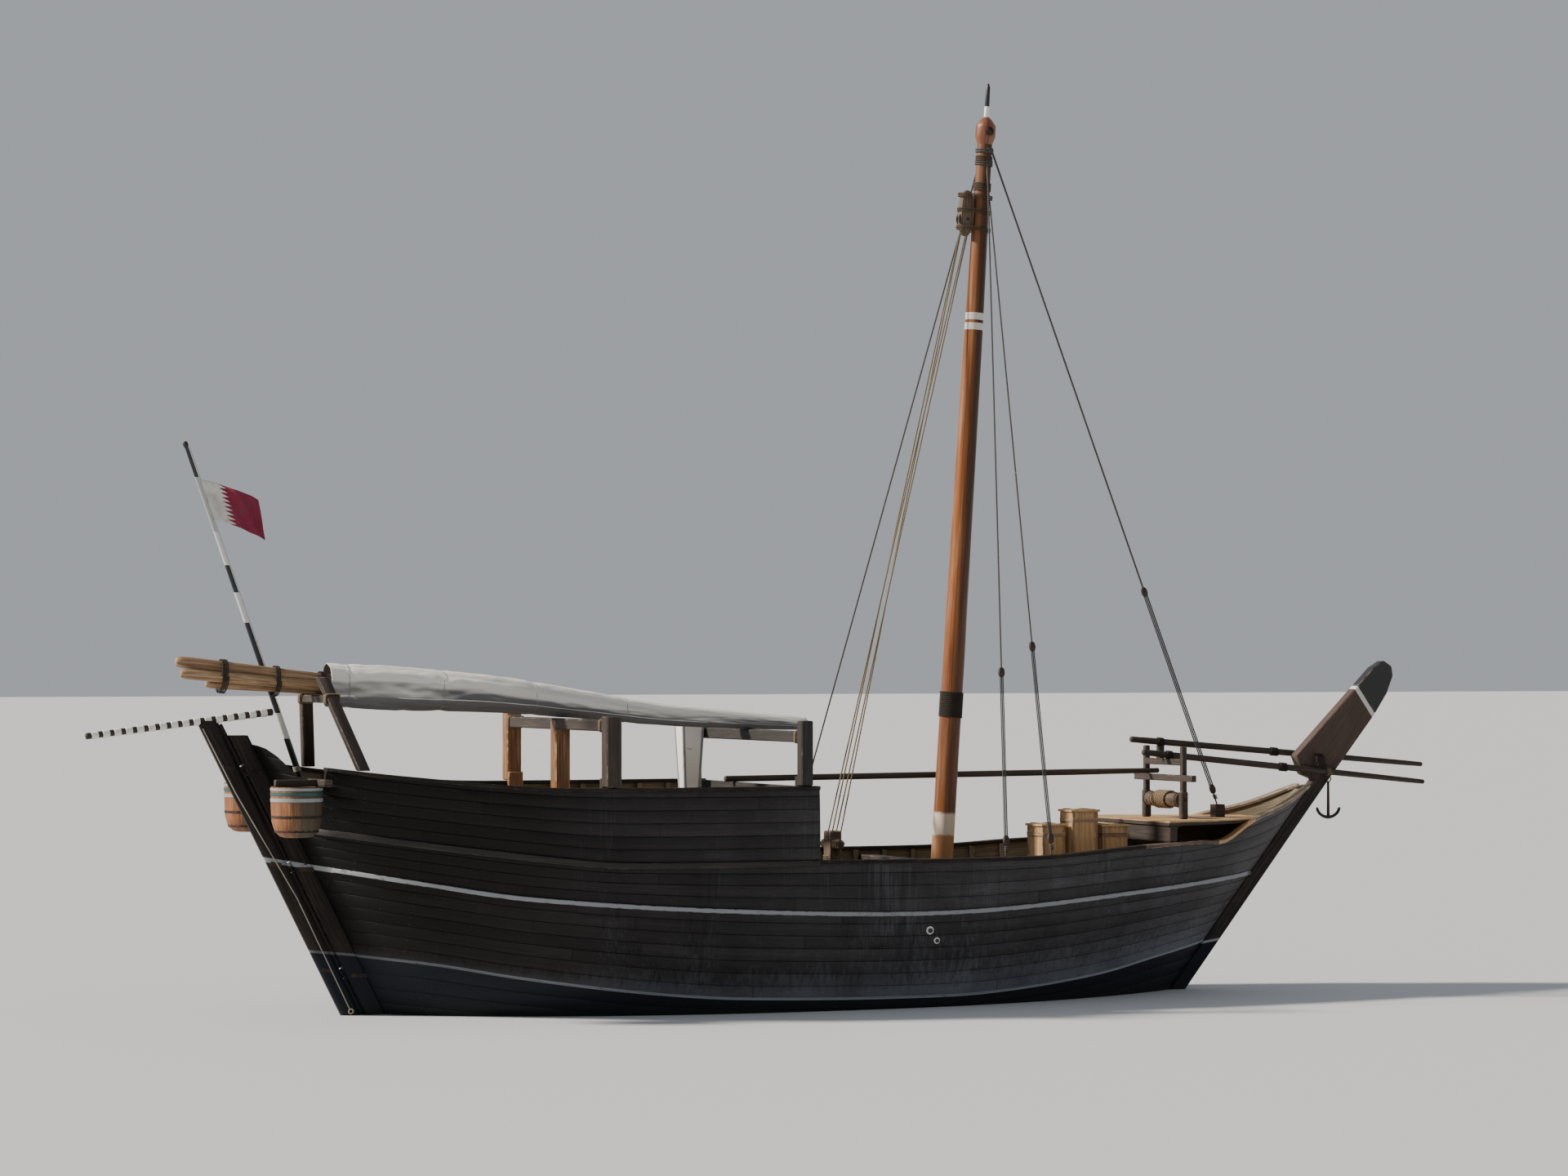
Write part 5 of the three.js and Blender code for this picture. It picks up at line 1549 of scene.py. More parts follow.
def masthead():
    """The crown with its two sheaves, a white collar over it and a black spike."""
    bm = start()
    foot, top = mast_point(MAST_LENGTH + 0.001), mast_point(MAST_LENGTH + 1.2)
    bulb = [
        (0.0, 0.15), (0.05, 0.165), (0.13, 0.195), (0.16, 0.2), (0.34, 0.2), (0.38, 0.195), (0.5, 0.11),
        (0.54, 0.06), (0.55, 0.05),
    ]
    collar = [(0.548, 0.05), (0.56, 0.052), (0.76, 0.05), (0.765, 0.044)]
    spike = [(0.763, 0.046), (0.77, 0.048), (1.14, 0.04), (1.2, 0.026), (1.226, 0.008)]
    for radii, sides, finish in ((bulb, 32, 0), (collar, 20, 1), (spike, 20, 2)):
        spar(bm, foot, top, radii, sides, finish)
    sheave = [(0, 0.075), (0.015, 0.09), (0.03, 0.075), (0.04, 0.03)]
    for side in (-1, 1):
        hub = mast_point(MAST_LENGTH + 0.25) + Vector((0, side * 0.2, 0))
        spar(bm, hub - Vector((0, side * 0.01, 0)), hub + Vector((0, side * 0.03, 0)), sheave, 24, 3)
    finishes = ["spar_varnish", "white_paint", "black_paint", "black_iron"]
    complete("masthead_crown", bm, finishes, "dark_timber", ["masthead"])


def mast_lashings():
    for name, finish, heights in MAST_LASHINGS:
        lashings = []
        for height, count in heights:
            radius = mast_radius(height) + 0.012
            lashings.append((turns_round(mast_point(height), MAST_WAY, radius, radius, 0.028, count), 0.014))
        ropes(name, lashings, finish=finish)


mast_spar()
masthead()
mast_lashings()


def block_body(bm, centre, way, tall, wide, thick):
    """A rigging block's rounded shell."""
    across, rise = axes(way, TO_PORT)
    way = Vector(way).normalized()
    rows = []
    for i in range(9):
        t = -math.cos(math.pi * i / 8)
        size = max(0.12, (1 - t * t) ** 0.35)
        middle = Vector(centre) + way * t * tall / 2
        row = []
        for c, s in circle(16):
            shape = (abs(c) ** 4 + abs(s) ** 4) ** -0.25
            row.append(middle + across * c * shape * wide / 2 * size + rise * s * shape * thick / 2 * size)
        rows.append(row)
    grid(bm, rows)


# Standing rigging: name, node, side, height on the mast, foot's x, and height where its tackle starts or 0.
SIDE_STAYS = (
    ("port_backstay", "backstay_port", 1, STAY_TOP, 1.32, 0.0),
    ("fore_shroud_starboard", "shroud_fore_starboard", -1, STAY_TOP - 0.25, 4.45, 6.9),
    ("fore_shroud_port", "shroud_fore_port", 1, STAY_TOP - 0.25, 4.45, 6.9),
    ("aft_shroud_starboard", "shroud_aft_starboard", -1, STAY_TOP, 3.42, 6.4),
)


def tackle(name, foot, way, across, upper, radius, gap):
    """Three falls between two blocks, and the tail that is made fast to the stay's foot."""
    lower = foot + way * 0.32
    lines = [([lower + across * k * gap, upper + across * k * gap], radius * 0.7) for k in (-1, 0, 1)]
    lines.append(([foot + across * 0.02, lower], radius * 0.8))
    lines.append((turns_round(lower - way * 0.17, way, 0.034, 0.034, 0.024, 4, 14), 0.011))
    bm = start()
    for spot in (upper, lower):
        block_body(bm, spot, way, 0.2, 0.13, 0.08)
    complete(name + "_blocks", bm, ["oiled_timber"], "dark_timber")
    return lines


def stay(name, node, foot, top, start_z, radius, gap, collar):
    """A stay from the mast's collar down to its foot, or to a tackle that starts at a height."""
    foot, top = Vector(foot), Vector(top)
    way = (top - foot).normalized()
    across = way.cross(Vector(TO_PORT if abs(way.y) < 0.2 else AHEAD)).normalized()
    if start_z:
        upper = foot + way * ((start_z - foot.z) / way.z)
        lines = [([upper, top], radius), *tackle(name, foot, way, across, upper, radius, gap)]
    else:
        seizing = turns_round(foot + way * 0.25, way, 0.036, 0.036, 0.022, 8, 14)
        lines = [([foot, top], radius), (seizing, 0.01)]
    ropes(name, [*lines, collar], finish="stay_rope", replaces=[node])


def rigging():
    for k, (name, node, side, top, x, start_z) in enumerate(SIDE_STAYS):
        rail = eased(MAIN_RAIL, x)
        foot = (x, side * (half_breadth(x, rail) - 0.08), rail + 0.004)
        radius = mast_radius(top) + 0.018
        head = mast_point(top, side=side * mast_radius(top) * 0.9)
        middle = mast_point(top + 0.05 + 0.045 * (k % 2))
        collar = (turns_round(middle, MAST_WAY, radius, radius, 0.034, 1.5), 0.017)
        stay(name, node, foot, head, start_z, 0.02, 0.03, collar)
    top = STAY_TOP + 0.12
    radius = mast_radius(STAY_TOP) + 0.02
    collar = (turns_round(mast_point(top - 0.05), MAST_WAY, radius, radius, 0.04, 2), 0.02)
    stay("fore_stay", "forestay", (9.5, 0, 3.72), mast_point(top, aft=-0.15), 8.0, 0.024, 0.036, collar)


rigging()

BLOCK_FOOT, BLOCK_HEAD = mast_point(12.95, aft=0.32), mast_point(13.85, aft=0.32)
# The falls' feet at the bitts as x and y, and their heads as x and y off the block's foot.
FALLS = (((0.72, -0.34), (0.02, -0.07)), ((0.9, -0.14), (-0.1, -0.03)), ((1.1, 0.12), (0.1, 0.04)),
         ((1.28, 0.3), (-0.04, 0.07)))
BITTS_X, BITTS_WRAPS = 1.0, ((-0.31, 4), (-0.2, 2), (0.22, 3), (0.33, 4))


def great_block():
    """The halyard's great block with its two sheaves, and the strops that hold it to the mast."""
    bm = start()
    block_body(bm, (BLOCK_FOOT + BLOCK_HEAD) / 2, MAST_WAY, 0.92, 0.32, 0.23)
    hub = BLOCK_FOOT.lerp(BLOCK_HEAD, 0.36)
    sheave = [(0, 0.165), (0.01, 0.175), (0.025, 0.16), (0.04, 0.175), (0.05, 0.165)]
    for y in (-0.055, 0.055):
        spar(bm, hub + Vector((0, y - 0.025, 0)), hub + Vector((0, y + 0.025, 0)), sheave, 28, 1)
    spar(bm, hub - Vector((0, 0.135, 0)), hub + Vector((0, 0.135, 0)), rounded(0.27, 0.03), 16, 1)
    complete("great_block", bm, ["weathered_timber", "black_iron"], "dark_timber", ["halyard_block"])
    strops = []
    for height in (13.1, 13.45, 13.75):
        centre = mast_point(height, aft=0.14)
        strops.append((turns_round(centre, MAST_WAY, 0.2, 0.36, 0.028, 3, 36, AHEAD), 0.013))
    ropes("block_strops", strops, finish="brown_rope")


def halyard():
    """The halyard's falls, the bitts and the turns that make it fast there."""
    falls = []
    for (x, y), (forward, port) in FALLS:
        foot, head = Vector((x, y, 3.14)), BLOCK_FOOT + Vector((forward, port, 0.12))
        falls.append(([foot, foot.lerp(head, 0.5) + Vector((-0.02, 0, 0)), head], 0.017))
    ropes("halyard_falls", falls, finish="coir_rope", replaces=["halyard_tackle"])
    eased_piece("bitts_timbers", "halyard_bitts", "weathered_timber", "weathered_timber", 0.018, UPWARD)
    wraps = [
        (turns_round((BITTS_X, y, 3.04), TO_PORT, 0.085, 0.085, 0.034, count), 0.016)
        for y, count in BITTS_WRAPS
    ]
    wraps.append((turns_round((BITTS_X, 0.0, 2.72), UPWARD, 0.155, 0.175, 0.034, 6), 0.016))
    ropes("belayed_turns", wraps, finish="coir_rope")


great_block()
halyard()

# Yard and furled sail

# The bundle's x, head, foot and half breadth.
BUNDLE = (
    (-9.3, 6.6, 5.74, 0.33), (-8.2, 6.56, 5.69, 0.37), (-6.3, 6.39, 5.66, 0.34), (-4.5, 6.12, 5.53, 0.3),
    (-2.6, 5.82, 5.37, 0.24), (-0.7, 5.64, 5.3, 0.18), (0.42, 5.52, 5.27, 0.12),
)
GASKETS = [-8.95 + 1.86 * i for i in range(4)]
GASKET_PINCH, GASKET_REACH = 0.35, 0.11
SAIL_START, SAIL_LONG, SAIL_TURNS = -0.12, 9.72, 1.3
CANVAS_THICK, SAIL_FLAT_LONG = 0.004, 9.9


def bundle_at(x):
    return [eased([(row[0], row[k]) for row in BUNDLE], x) for k in (1, 2, 3)]


def sail_under(x):
    return straight([(row[0], row[2]) for row in BUNDLE], x)


def pinch(x):
    """How far the nearest gasket draws the bundle in, from 0 to 1."""
    return GASKET_PINCH * max(math.exp(-(((x - at) / GASKET_REACH) ** 2)) for at in GASKETS)


def sail_point(x, turn):
    """A point of the furled canvas: turn runs from 0 at the underside, once round and on past it."""
    top, under, half = bundle_at(x)
    angle = 2 * math.pi * turn
    slack = 1 - pinch(x)
    c, s = math.cos(angle), math.sin(angle)
    fold = noise.noise(Vector((x * 0.7, s * 1.9, c * 1.9)))
    pleat = math.sin(turn * 26 + x * 0.9 + 3.6 * noise.noise(Vector((x * 0.4, turn * 2.2, 4.0))))
    crease = noise.noise(Vector((x * 3.1, s * 4.2, c * 4.2 + 7.0)))
    size = 0.93 - 0.1 * pinch(x) + slack * (0.05 * fold + 0.035 * crease)
    size += 0.036 * pleat * (0.4 + 0.6 * slack)
    size += 0.035 * (turn - 0.5) + 0.012
    spot = Vector((x, -half * size * s, (top + under) / 2 - (top - under) / 2 * size * c))
    return spot, 0.5 + 0.5 * pleat


def thicken(sheet, thickness):
    skin = sheet.modifiers.new("thickness", "SOLIDIFY")
    skin.thickness, skin.offset = thickness, 0.0


def furled_sail():
    """The furled canvas as one sheet, rolled round the bundle and past its own edge."""
    bm = start()
    # The fold mark is how high each point lies on its pleat; the canvas finish paints shade into the pleats'
    # hollows by it.
    marks = bm.verts.layers.float.new("fold")
    columns, turns = 300, 104
    places = [BUNDLE[0][0] + SAIL_LONG * i / columns for i in range(columns + 1)]
    shares = [SAIL_START + SAIL_TURNS * j / turns for j in range(turns + 1)]
    points = [[sail_point(x, turn) for turn in shares] for x in places]
    rows = [[spot for spot, _ in row] for row in points]
    made = grid(bm, rows, ring=False, shift=0.0)
    for verts, row in zip(made, points):
        for v, (_, mark) in zip(verts, row):
            v[marks] = mark
    area = sum(face.calc_area() for face in bm.faces)
    mesh = mesh_of("furled_canvas", bm)
    mesh.materials.append(FINISH["sail_canvas"])
    sail = place("furled_canvas", mesh, "boat", "sailcloth", ["furled_sail"])
    thicken(sail, CANVAS_THICK)
    widest = max(sum((b - a).length for a, b in zip(row, row[1:])) for row in rows)


furled_sail()

YARD_SPARS = (
    # after end, where it goes into the bundle, fore end in the bundle, radius aft and forward
    ((-12.2, 0.02, 6.62), (-9.3, 0.0, 6.27), (0.5, 0.0, 5.39), 0.115, 0.075),
    ((-12.15, -0.13, 6.4), (-9.3, -0.11, 6.15), (-3.0, -0.06, 5.72), 0.1, 0.07),
    ((-11.6, 0.13, 6.21), (-9.3, 0.13, 6.08), (-4.0, 0.07, 5.72), 0.09, 0.07),
)
YARD_LASHINGS = ((-11.32, 5), (-10.3, 4), (-9.42, 4))


def on_line(a, b, x):
    return Vector(a).lerp(Vector(b), (x - a[0]) / (b[0] - a[0]))


def yard():
    """The yard of three lashed spars, its lashings and the gaskets of the sail."""
    bm = start()
    for aft, bend, fore, first, second in YARD_SPARS:
        length = (Vector(bend) - Vector(aft)).length
        ease = ((0.0, 0.55), (0.03, 0.8), (0.1, 0.93), (0.3, 1.0), (length, 0.97))
        spar(bm, aft, bend, [(at, first * share) for at, share in ease], 28)
        rest, middle = (Vector(fore) - Vector(bend)).length, (first + second) / 2
        radii = [(-0.02, first * 0.95), (rest * 0.5, middle), (rest - 0.05, second), (rest, second * 0.7)]
        spar(bm, bend, fore, radii, 20)
    complete("yard_spars", bm, ["bare_spar"], "bright_timber", ["yard"])
    lashings = []
    for x, count in YARD_LASHINGS:
        spots = [on_line(aft, bend, x) for aft, bend, _, _, _ in YARD_SPARS]
        heights = [spot.z for spot in spots]
        tall = (max(heights) - min(heights)) / 2 + 0.15
        centre = sum(spots, Vector()) / 3
        lashings.append((turns_round(centre, (1, 0, -0.1), 0.25, tall, 0.026, count, 36), 0.012))
    ropes("yard_lashings", lashings, finish="tarred_rope")
    ties = []
    for x in GASKETS:
        top, under, half = bundle_at(x)
        centre, tall = (x, 0, (top + under) / 2), (top - under) / 2
        ties.append((turns_round(centre, (1, 0, -0.05), half * 0.93, tall * 0.93, 0.016, 1, 40), 0.006))
    ropes("sail_gaskets", ties, finish="pale_rope")


yard()

# Frames across the decks

GALLOWS = (
    # piece, node, x, half spread, thickness, head, finishes of the starboard post, its cheek, the crossbeam
    # and the breast bar, and of the rest
    (
        "mid_gallows_frame", "mid_gallows", -4.66, 2.77, 0.3, 5.6, ("oiled_timber", "bright_timber"),
        "bright_timber",
    ),
    ("fore_gallows_frame", "fore_gallows", -0.81, 2.88, 0.24, 5.5, ("wale_timber",), "dark_timber"),
)
SEAT, DECK_FOOT = 0.0003, 3.7003
BREAST_BAR, CHEEK_HEAD, BEAM_DEEP = 4.26, 4.45, 0.21


def gallows():
    """Two frames that stand on the quarter rails, with cheeks inside the rails down to the deck."""
    ties = []
    for name, node, x, spread, thick, head, finishes, slot in GALLOWS:
        bm = start()
        bar, rest = sail_under(x + thick / 2) - SEAT, len(finishes) - 1
        middle = bar - BEAM_DEEP / 2
        foot = max(straight(QUARTER_RAIL, x + side * thick / 2) for _, side in SIDES) + SEAT
        for _, side in SIDES:
            finish, y = (rest if side > 0 else 0), side * spread
            timber(bm, (x, y, foot), (x, y, head), thick, thick, 0.022, finish, AHEAD)
            y = side * (half_breadth(x - thick / 2, 4.25) - 0.26)
            timber(bm, (x, y, DECK_FOOT), (x, y, CHEEK_HEAD), 0.11, thick, 0.014, finish, AHEAD)
            spot, half = (x, side * (spread - thick / 2 - 0.08), middle), thick / 2 + 0.01
            ties.append((turns_round(spot, TO_PORT, half, BEAM_DEEP / 2 + 0.01, 0.03, 3, square=8), 0.014))
        if rest:
            timber(bm, (x, 0, DECK_FOOT), (x, 0, bar - 0.02), thick, thick, 0.022, rest, AHEAD)
        reach = spread + 0.06
        # The crossbeam takes the first finish: on the mid frame, dark oiled timber as painted shade under
        # the furled sail.
        timber(bm, (x, -reach, middle), (x, reach, middle), thick * 0.98, BEAM_DEEP, 0.02)
        if node == "fore_gallows":
            reach, z = half_breadth(x, 4.25) - 0.26, BREAST_BAR - 0.075
            timber(bm, (x, -reach, z), (x, reach, z), 0.12, 0.15, 0.014)
        complete(name, bm, finishes, slot, [node])
    ropes("gallows_lashings", ties, finish="coir_rope")


def aft_gallows():
    """A bar under the yard's after end between two legs that rake aft from the rails."""
    bar_x, foot_x, half, head = -9.45, -9.12, 0.11, 6.33
    out = half_breadth(foot_x, 4.6) - 0.06
    foot_z = straight(QUARTER_RAIL, foot_x - half - 0.03) + SEAT
    bar = straight(((-11.6, 6.21), (-9.3, 6.08)), bar_x + half) - 0.09 - 2 * SEAT
    bm, ties = start(), []
    timber(bm, (bar_x, -0.9, bar - 0.0725), (bar_x, 0.9, bar - 0.0725), 2 * half, 0.145, 0.018)
    for _, side in SIDES:
        sunk, top = Vector((foot_x, side * out, foot_z - 0.06)), Vector((-9.56, side * out * 0.3, head))
        share = (foot_z - sunk.z) / (head - sunk.z)
        level_post(bm, sunk.lerp(top, share), top, (half, 0.105), (half, 0.105))
        tie = sunk.lerp(top, (bar - 0.07 - sunk.z) / (head - sunk.z))
        ties.append((turns_round(tie, TO_PORT, 0.135, 0.095, 0.03, 5, square=8), 0.014))
    complete("aft_gallows_frame", bm, ["oiled_timber"], "dark_timber", ["aft_gallows"])
    ropes("aft_gallows_lashings", ties, finish="coir_rope")


gallows()
aft_gallows()

# Stern: casks, staff, ensign and steering gear

CASK_X, CASK_Y, CASK_FOOT, CASK_BEAM = -10.35, 1.54, 3.4, 4.395
STAVES, STAVE_STEPS, STAVE_GROOVE = 20, 4, 0.006
# A cask's rise and radius over its outer and inner faces.
CASK_OUTER = ((0.0, 0.22), (0.02, 0.3), (0.1, 0.395), (0.3, 0.458), (0.6, 0.472), (0.9297, 0.475))
CASK_INNER = ((0.9297, 0.43), (0.3, 0.41), (0.09, 0.33), (0.075, 0.2))
# Hoops and painted rings: rise, radius, finish, height.
HOOPS = (
    (0.12, 0.405, 2, 0.05), (0.38, 0.468, 2, 0.05), (0.69, 0.48, 1, 0.07), (0.8, 0.482, 3, 0.06),
    (0.885, 0.482, 1, 0.05),
)


def cask_beam():
    bm = start()
    timber(bm, (-9.9, -2.05, CASK_BEAM), (-9.9, 2.05, CASK_BEAM), 0.16, 0.13, 0.014)
    for _, side in SIDES:
        y = side * CASK_Y
        timber(bm, (-10.77, y, CASK_BEAM), (-9.97, y, CASK_BEAM), 0.12, 0.129, 0.012)
    complete("cask_beam_timbers", bm, ["oiled_timber"], "dark_timber", ["cask_beam"])


def cask(word, side):
    """A stern cask of coopered staves, open at the top, with hoops and painted rings."""
    bm = start()
    y = side * CASK_Y
    grooved = [(*row, STAVE_GROOVE) for row in CASK_OUTER] + [(*row, 0.0) for row in CASK_INNER]
    rows = []
    for rise, radius, groove in grooved:
        row = []
        for j, (c, s) in enumerate(circle(STAVES * STAVE_STEPS)):
            reach = radius - (groove if j % STAVE_STEPS == 0 else 0.0)
            row.append((CASK_X + reach * c, y + reach * s, CASK_FOOT + rise))
        rows.append(row)
    grid(bm, rows)
    for rise, radius, finish, tall in HOOPS:
        near, half = radius - 0.012, tall / 2
        section = ((near, -half), (radius, -half + 0.003), (radius, half - 0.003), (near, half))
        z = CASK_FOOT + rise
        rings = [[(CASK_X + r * c, y + r * s, z + h) for r, h in section] for c, s in circle(48)]
        grid(bm, [*rings, rings[0]], ends=False, finish=finish)
    bmesh.ops.remove_doubles(bm, verts=bm.verts, dist=1e-5)
    finishes = ["cask_timber", "strake_paint", "black_iron", "teal_paint"]
    complete("stern_cask_staves_" + word, bm, finishes, "bright_timber", ["stern_cask_" + word])


cask_beam()
for word, side in SIDES:
    cask(word, side)

STAFF_FOOT, STAFF_HEAD = Vector((-9.45, 0.35, 3.7003)), Vector((-11.95, 0.35, 10.7))
HOIST_TOP, HOIST_FOOT = 10.0, 9.25
FLY, DROOP = 1.15, 0.38
BUNTING_THICK = 0.002


def staff():
    """The ensign staff with its truck, and the flag halyard down its fore side."""
    bm = start()
    way = STAFF_HEAD - STAFF_FOOT
    length = way.length
    radii = [
        (0.0, 0.05), (0.02, 0.06), (length * 0.5, 0.047), (length - 0.12, 0.035), (length - 0.09, 0.05),
        (length - 0.03, 0.05), (length, 0.03),
    ]
    spar(bm, STAFF_FOOT, STAFF_HEAD, radii, 20)
    complete("ensign_staff_spar", bm, ["staff_bands"], "white_paint", ["ensign_staff"])
    places = ((0.985, (0.06, 0, 0)), (0.5, (0.075, 0.02, 0)), (0.14, (0.065, 0, 0)))
    line = [STAFF_FOOT.lerp(STAFF_HEAD, share) + Vector(off) for share, off in places]
    wraps = turns_round(STAFF_FOOT.lerp(STAFF_HEAD, 0.13), way, 0.066, 0.066, 0.016, 6, 20)
    ropes("flag_halyard", [(line, 0.006), (wraps, 0.008)], finish="pale_rope")


def flag_point(u, v):
    """A point of the ensign: u runs along the fly and v down the hoist, both from 0 to 1."""
    z = HOIST_TOP + (HOIST_FOOT - HOIST_TOP) * v
    up = (z - STAFF_FOOT.z) / (STAFF_HEAD.z - STAFF_FOOT.z)
    x = STAFF_FOOT.x + (STAFF_HEAD.x - STAFF_FOOT.x) * up + 0.045
    swing = 0.075 * math.sin(7.5 * u + 1.4 * v * u) * min(1.0, 3 * u)
    ripple = 0.022 * math.sin(19 * u - 5 * v) * min(1.0, 2 * u)
    ripple += 0.012 * noise.noise(Vector((u * 6, v * 5, 1.0)))
    fall = DROOP * u**1.4 - 0.02 * u * math.sin(9 * u)
    return Vector((x + FLY * u * (1 - 0.12 * v), STAFF_FOOT.y + swing + ripple, z - fall))


def ensign():
    """The ensign, hung by its hoist, with its map running from 0 to 1 along the fly and down."""
    bm = start()
    uv = bm.loops.layers.uv.active
    across, down = 64, 40
    rows = [[flag_point(i / across, j / down) for j in range(down + 1)] for i in range(across + 1)]
    grid(bm, rows, ring=False, shift=0.0)
    for n, face in enumerate(bm.faces):
        i, j = divmod(n, down)
        for loop, (a, b) in zip(face.loops, ((i, j), (i, j + 1), (i + 1, j + 1), (i + 1, j))):
            loop[uv].uv = (a / across, b / down)
    flag = complete("ensign_bunting", bm, ["flag_bunting"], "flag_cloth", ["ensign"], sharp=80)
    thicken(flag, BUNTING_THICK)


staff()
ensign()

# Rudder, as heights of (trailing edge's x, half thickness)
RUDDER = (
    (-1.75, (-8.9, 0.06)), (-1.5, (-9.12, 0.07)), (-0.9, (-9.33, 0.08)), (-0.3, (-9.15, 0.085)),
    (0.0, (-9.02, 0.09)), (5.52, (-11.81, 0.09)),
)
HINGE_FOOT_X = -8.6
HINGES = (-1.3, 0.7, 2.7, 4.5)
# Stretches of the rudder's fore edge between its hinges.
NOSINGS = ((-1.7, -1.32), (-1.11, 0.69), (0.89, 2.69), (2.89, 4.49), (4.69, 5.45))
STEER_AFT, STEER_FORE = Vector((-13.9, 0, 5.25)), Vector((-10.35, 0, 5.68))
WHITE_BANDS, BAND_HALF = 16, 0.065
STRAP_THICK, STRAP_TALL = 0.012, 0.08


def hinge_x(z):
    return HINGE_FOOT_X + STERN_RAKE * z


def rudder_trail(z):
    return straight([(row[0], row[1][0]) for row in RUDDER], z)


def rudder_half(z):
    return straight([(row[0], row[1][1]) for row in RUDDER], z)


def steering_spar():
    """The spar that reaches aft from the rudder head, with white bands."""
    bm = start()
    length = (STEER_FORE - STEER_AFT).length
    way = (STEER_FORE - STEER_AFT).normalized()
    first, more, ease, steps = 0.06, 0.005, 0.015, 8
    inner = [(ease + (length - 2 * ease) * i / steps, first + more * i / steps) for i in range(steps + 1)]
    spar(bm, STEER_AFT, STEER_FORE, [(0.0, first - ease), *inner, (length, first + more - ease)])
    for i in range(WHITE_BANDS):
        centre = STEER_AFT + way * (0.17 + 0.215 * i)
        ends = centre - way * BAND_HALF, centre + way * BAND_HALF
        spar(bm, *ends, rounded(2 * BAND_HALF, 0.074, 0.008, 0.008), 24, 1)
    finishes = ["oiled_timber", "white_paint"]
    complete("steering_spar_banded", bm, finishes, "dark_timber", ["steering_spar"], "rudder")


def rudder_fittings():
    """Straps of the rudder's pintles, its round fore edge and the line down its starboard side."""
    bm = start()
    for z in HINGES:
        over = z + 0.13
        for side in (-1, 1):
            root = Vector((hinge_x(over) - 0.17, side * (rudder_half(z) + 0.004), over))
            tail = (rudder_trail(over) + 0.03, root.y, root.z + 0.03)
            timber(bm, root, tail, STRAP_THICK, STRAP_TALL, 0.003)
    complete("pintle_straps", bm, ["black_iron"], "iron", body="rudder")
    bm = start()
    for low, high in NOSINGS:
        length = (high - low) * math.hypot(1, STERN_RAKE)
        ends = [(hinge_x(z), 0, z) for z in (low, high)]
        spar(bm, *ends, rounded(length, 0.043, 0.008, 0.007), 20)
    complete("rudder_nosing", bm, ["stern_timber"], "tarred_hull", body="rudder")
    line = [(-11.72, -0.104, 5.38), (-11.1, -0.107, 4.2), (-9.9, -0.108, 2.2), (-8.88, -0.104, 0.12)]
    knot = eye_round((-8.86, -0.112, 0.08), TO_PORT, 0.045, 2, 20)
    ropes("rudder_line", [(line, 0.014), (knot, 0.016)], "rudder", "pale_rope")


def gudgeons():
    """Straps of the gudgeons, along the sternpost and on to the planking."""
    bm = start()
    for z in HINGES:
        for side in (-1, 1):
            root = Vector((hinge_x(z + 0.045) + 0.12, side * 0.131, z + 0.045))
            long = 0.62 if z < 3 else 0.2
            timber(bm, root, root + Vector((long, 0, 0)), STRAP_THICK, STRAP_TALL, 0.003)
    complete("gudgeon_straps", bm, ["black_iron"], "iron")


steering_spar()
rudder_fittings()
gudgeons()

# Bow: frame, windlass, spars and grapnel

BOW_X, BOW_Y = 8.3, 0.8
DRUM_Z, UPPER_BAR, LOWER_BAR, CHOCK = 3.83, 4.65, 4.33, 4.91
BOW_SPARS = (("starboard", -1, UPPER_BAR, 7.7, (14.2, 4.12)), ("port", 1, CHOCK, 7.62, (14.38, 4.47)))
BOW_SPAR_R = 0.065
BITT_FOOT, BITT_HEAD, BITT_THICK = 3.4503, 4.0, 0.15
# The way that the bow spars' lashings are wound along.
SPAR_WAY = (1, 0, -0.1)


def bow_spar_z(seat, fore, x):
    return straight(((BOW_X + 0.06, seat + BOW_SPAR_R + 0.0006), fore), x)


def bow_frame():
    """Two bitts with posts on them, two bars across and a chock for the port bow spar."""
    bm = start()
    for _, side in SIDES:
        y = side * BOW_Y
        timber(bm, (BOW_X, y, BITT_FOOT), (BOW_X, y, BITT_HEAD), BITT_THICK, BITT_THICK, 0.02, up=AHEAD)
        timber(bm, (BOW_X, y, 3.9), (BOW_X, y, 4.9), 0.11, 0.11, up=AHEAD)
    for bar, reach, wide in ((LOWER_BAR, 1.25, 0.12), (UPPER_BAR, BOW_Y, 0.119)):
        timber(bm, (BOW_X, -reach, bar - 0.065), (BOW_X, reach, bar - 0.065), wide, 0.13, 0.014)
    timber(bm, (BOW_X, 0.195, UPPER_BAR - 0.03), (BOW_X, 0.195, CHOCK), 0.15, 0.119, 0.014, up=AHEAD)
    complete("bow_frame_timbers", bm, ["oiled_timber"], "dark_timber", ["bow_frame"])


def drum_part(bm, y, half, radii, sides, finish=0):
    """A round part of the windlass about its axle, of a half length about y."""
    spar(bm, (BOW_X, y - half, DRUM_Z), (BOW_X, y + half, DRUM_Z), radii, sides, finish)


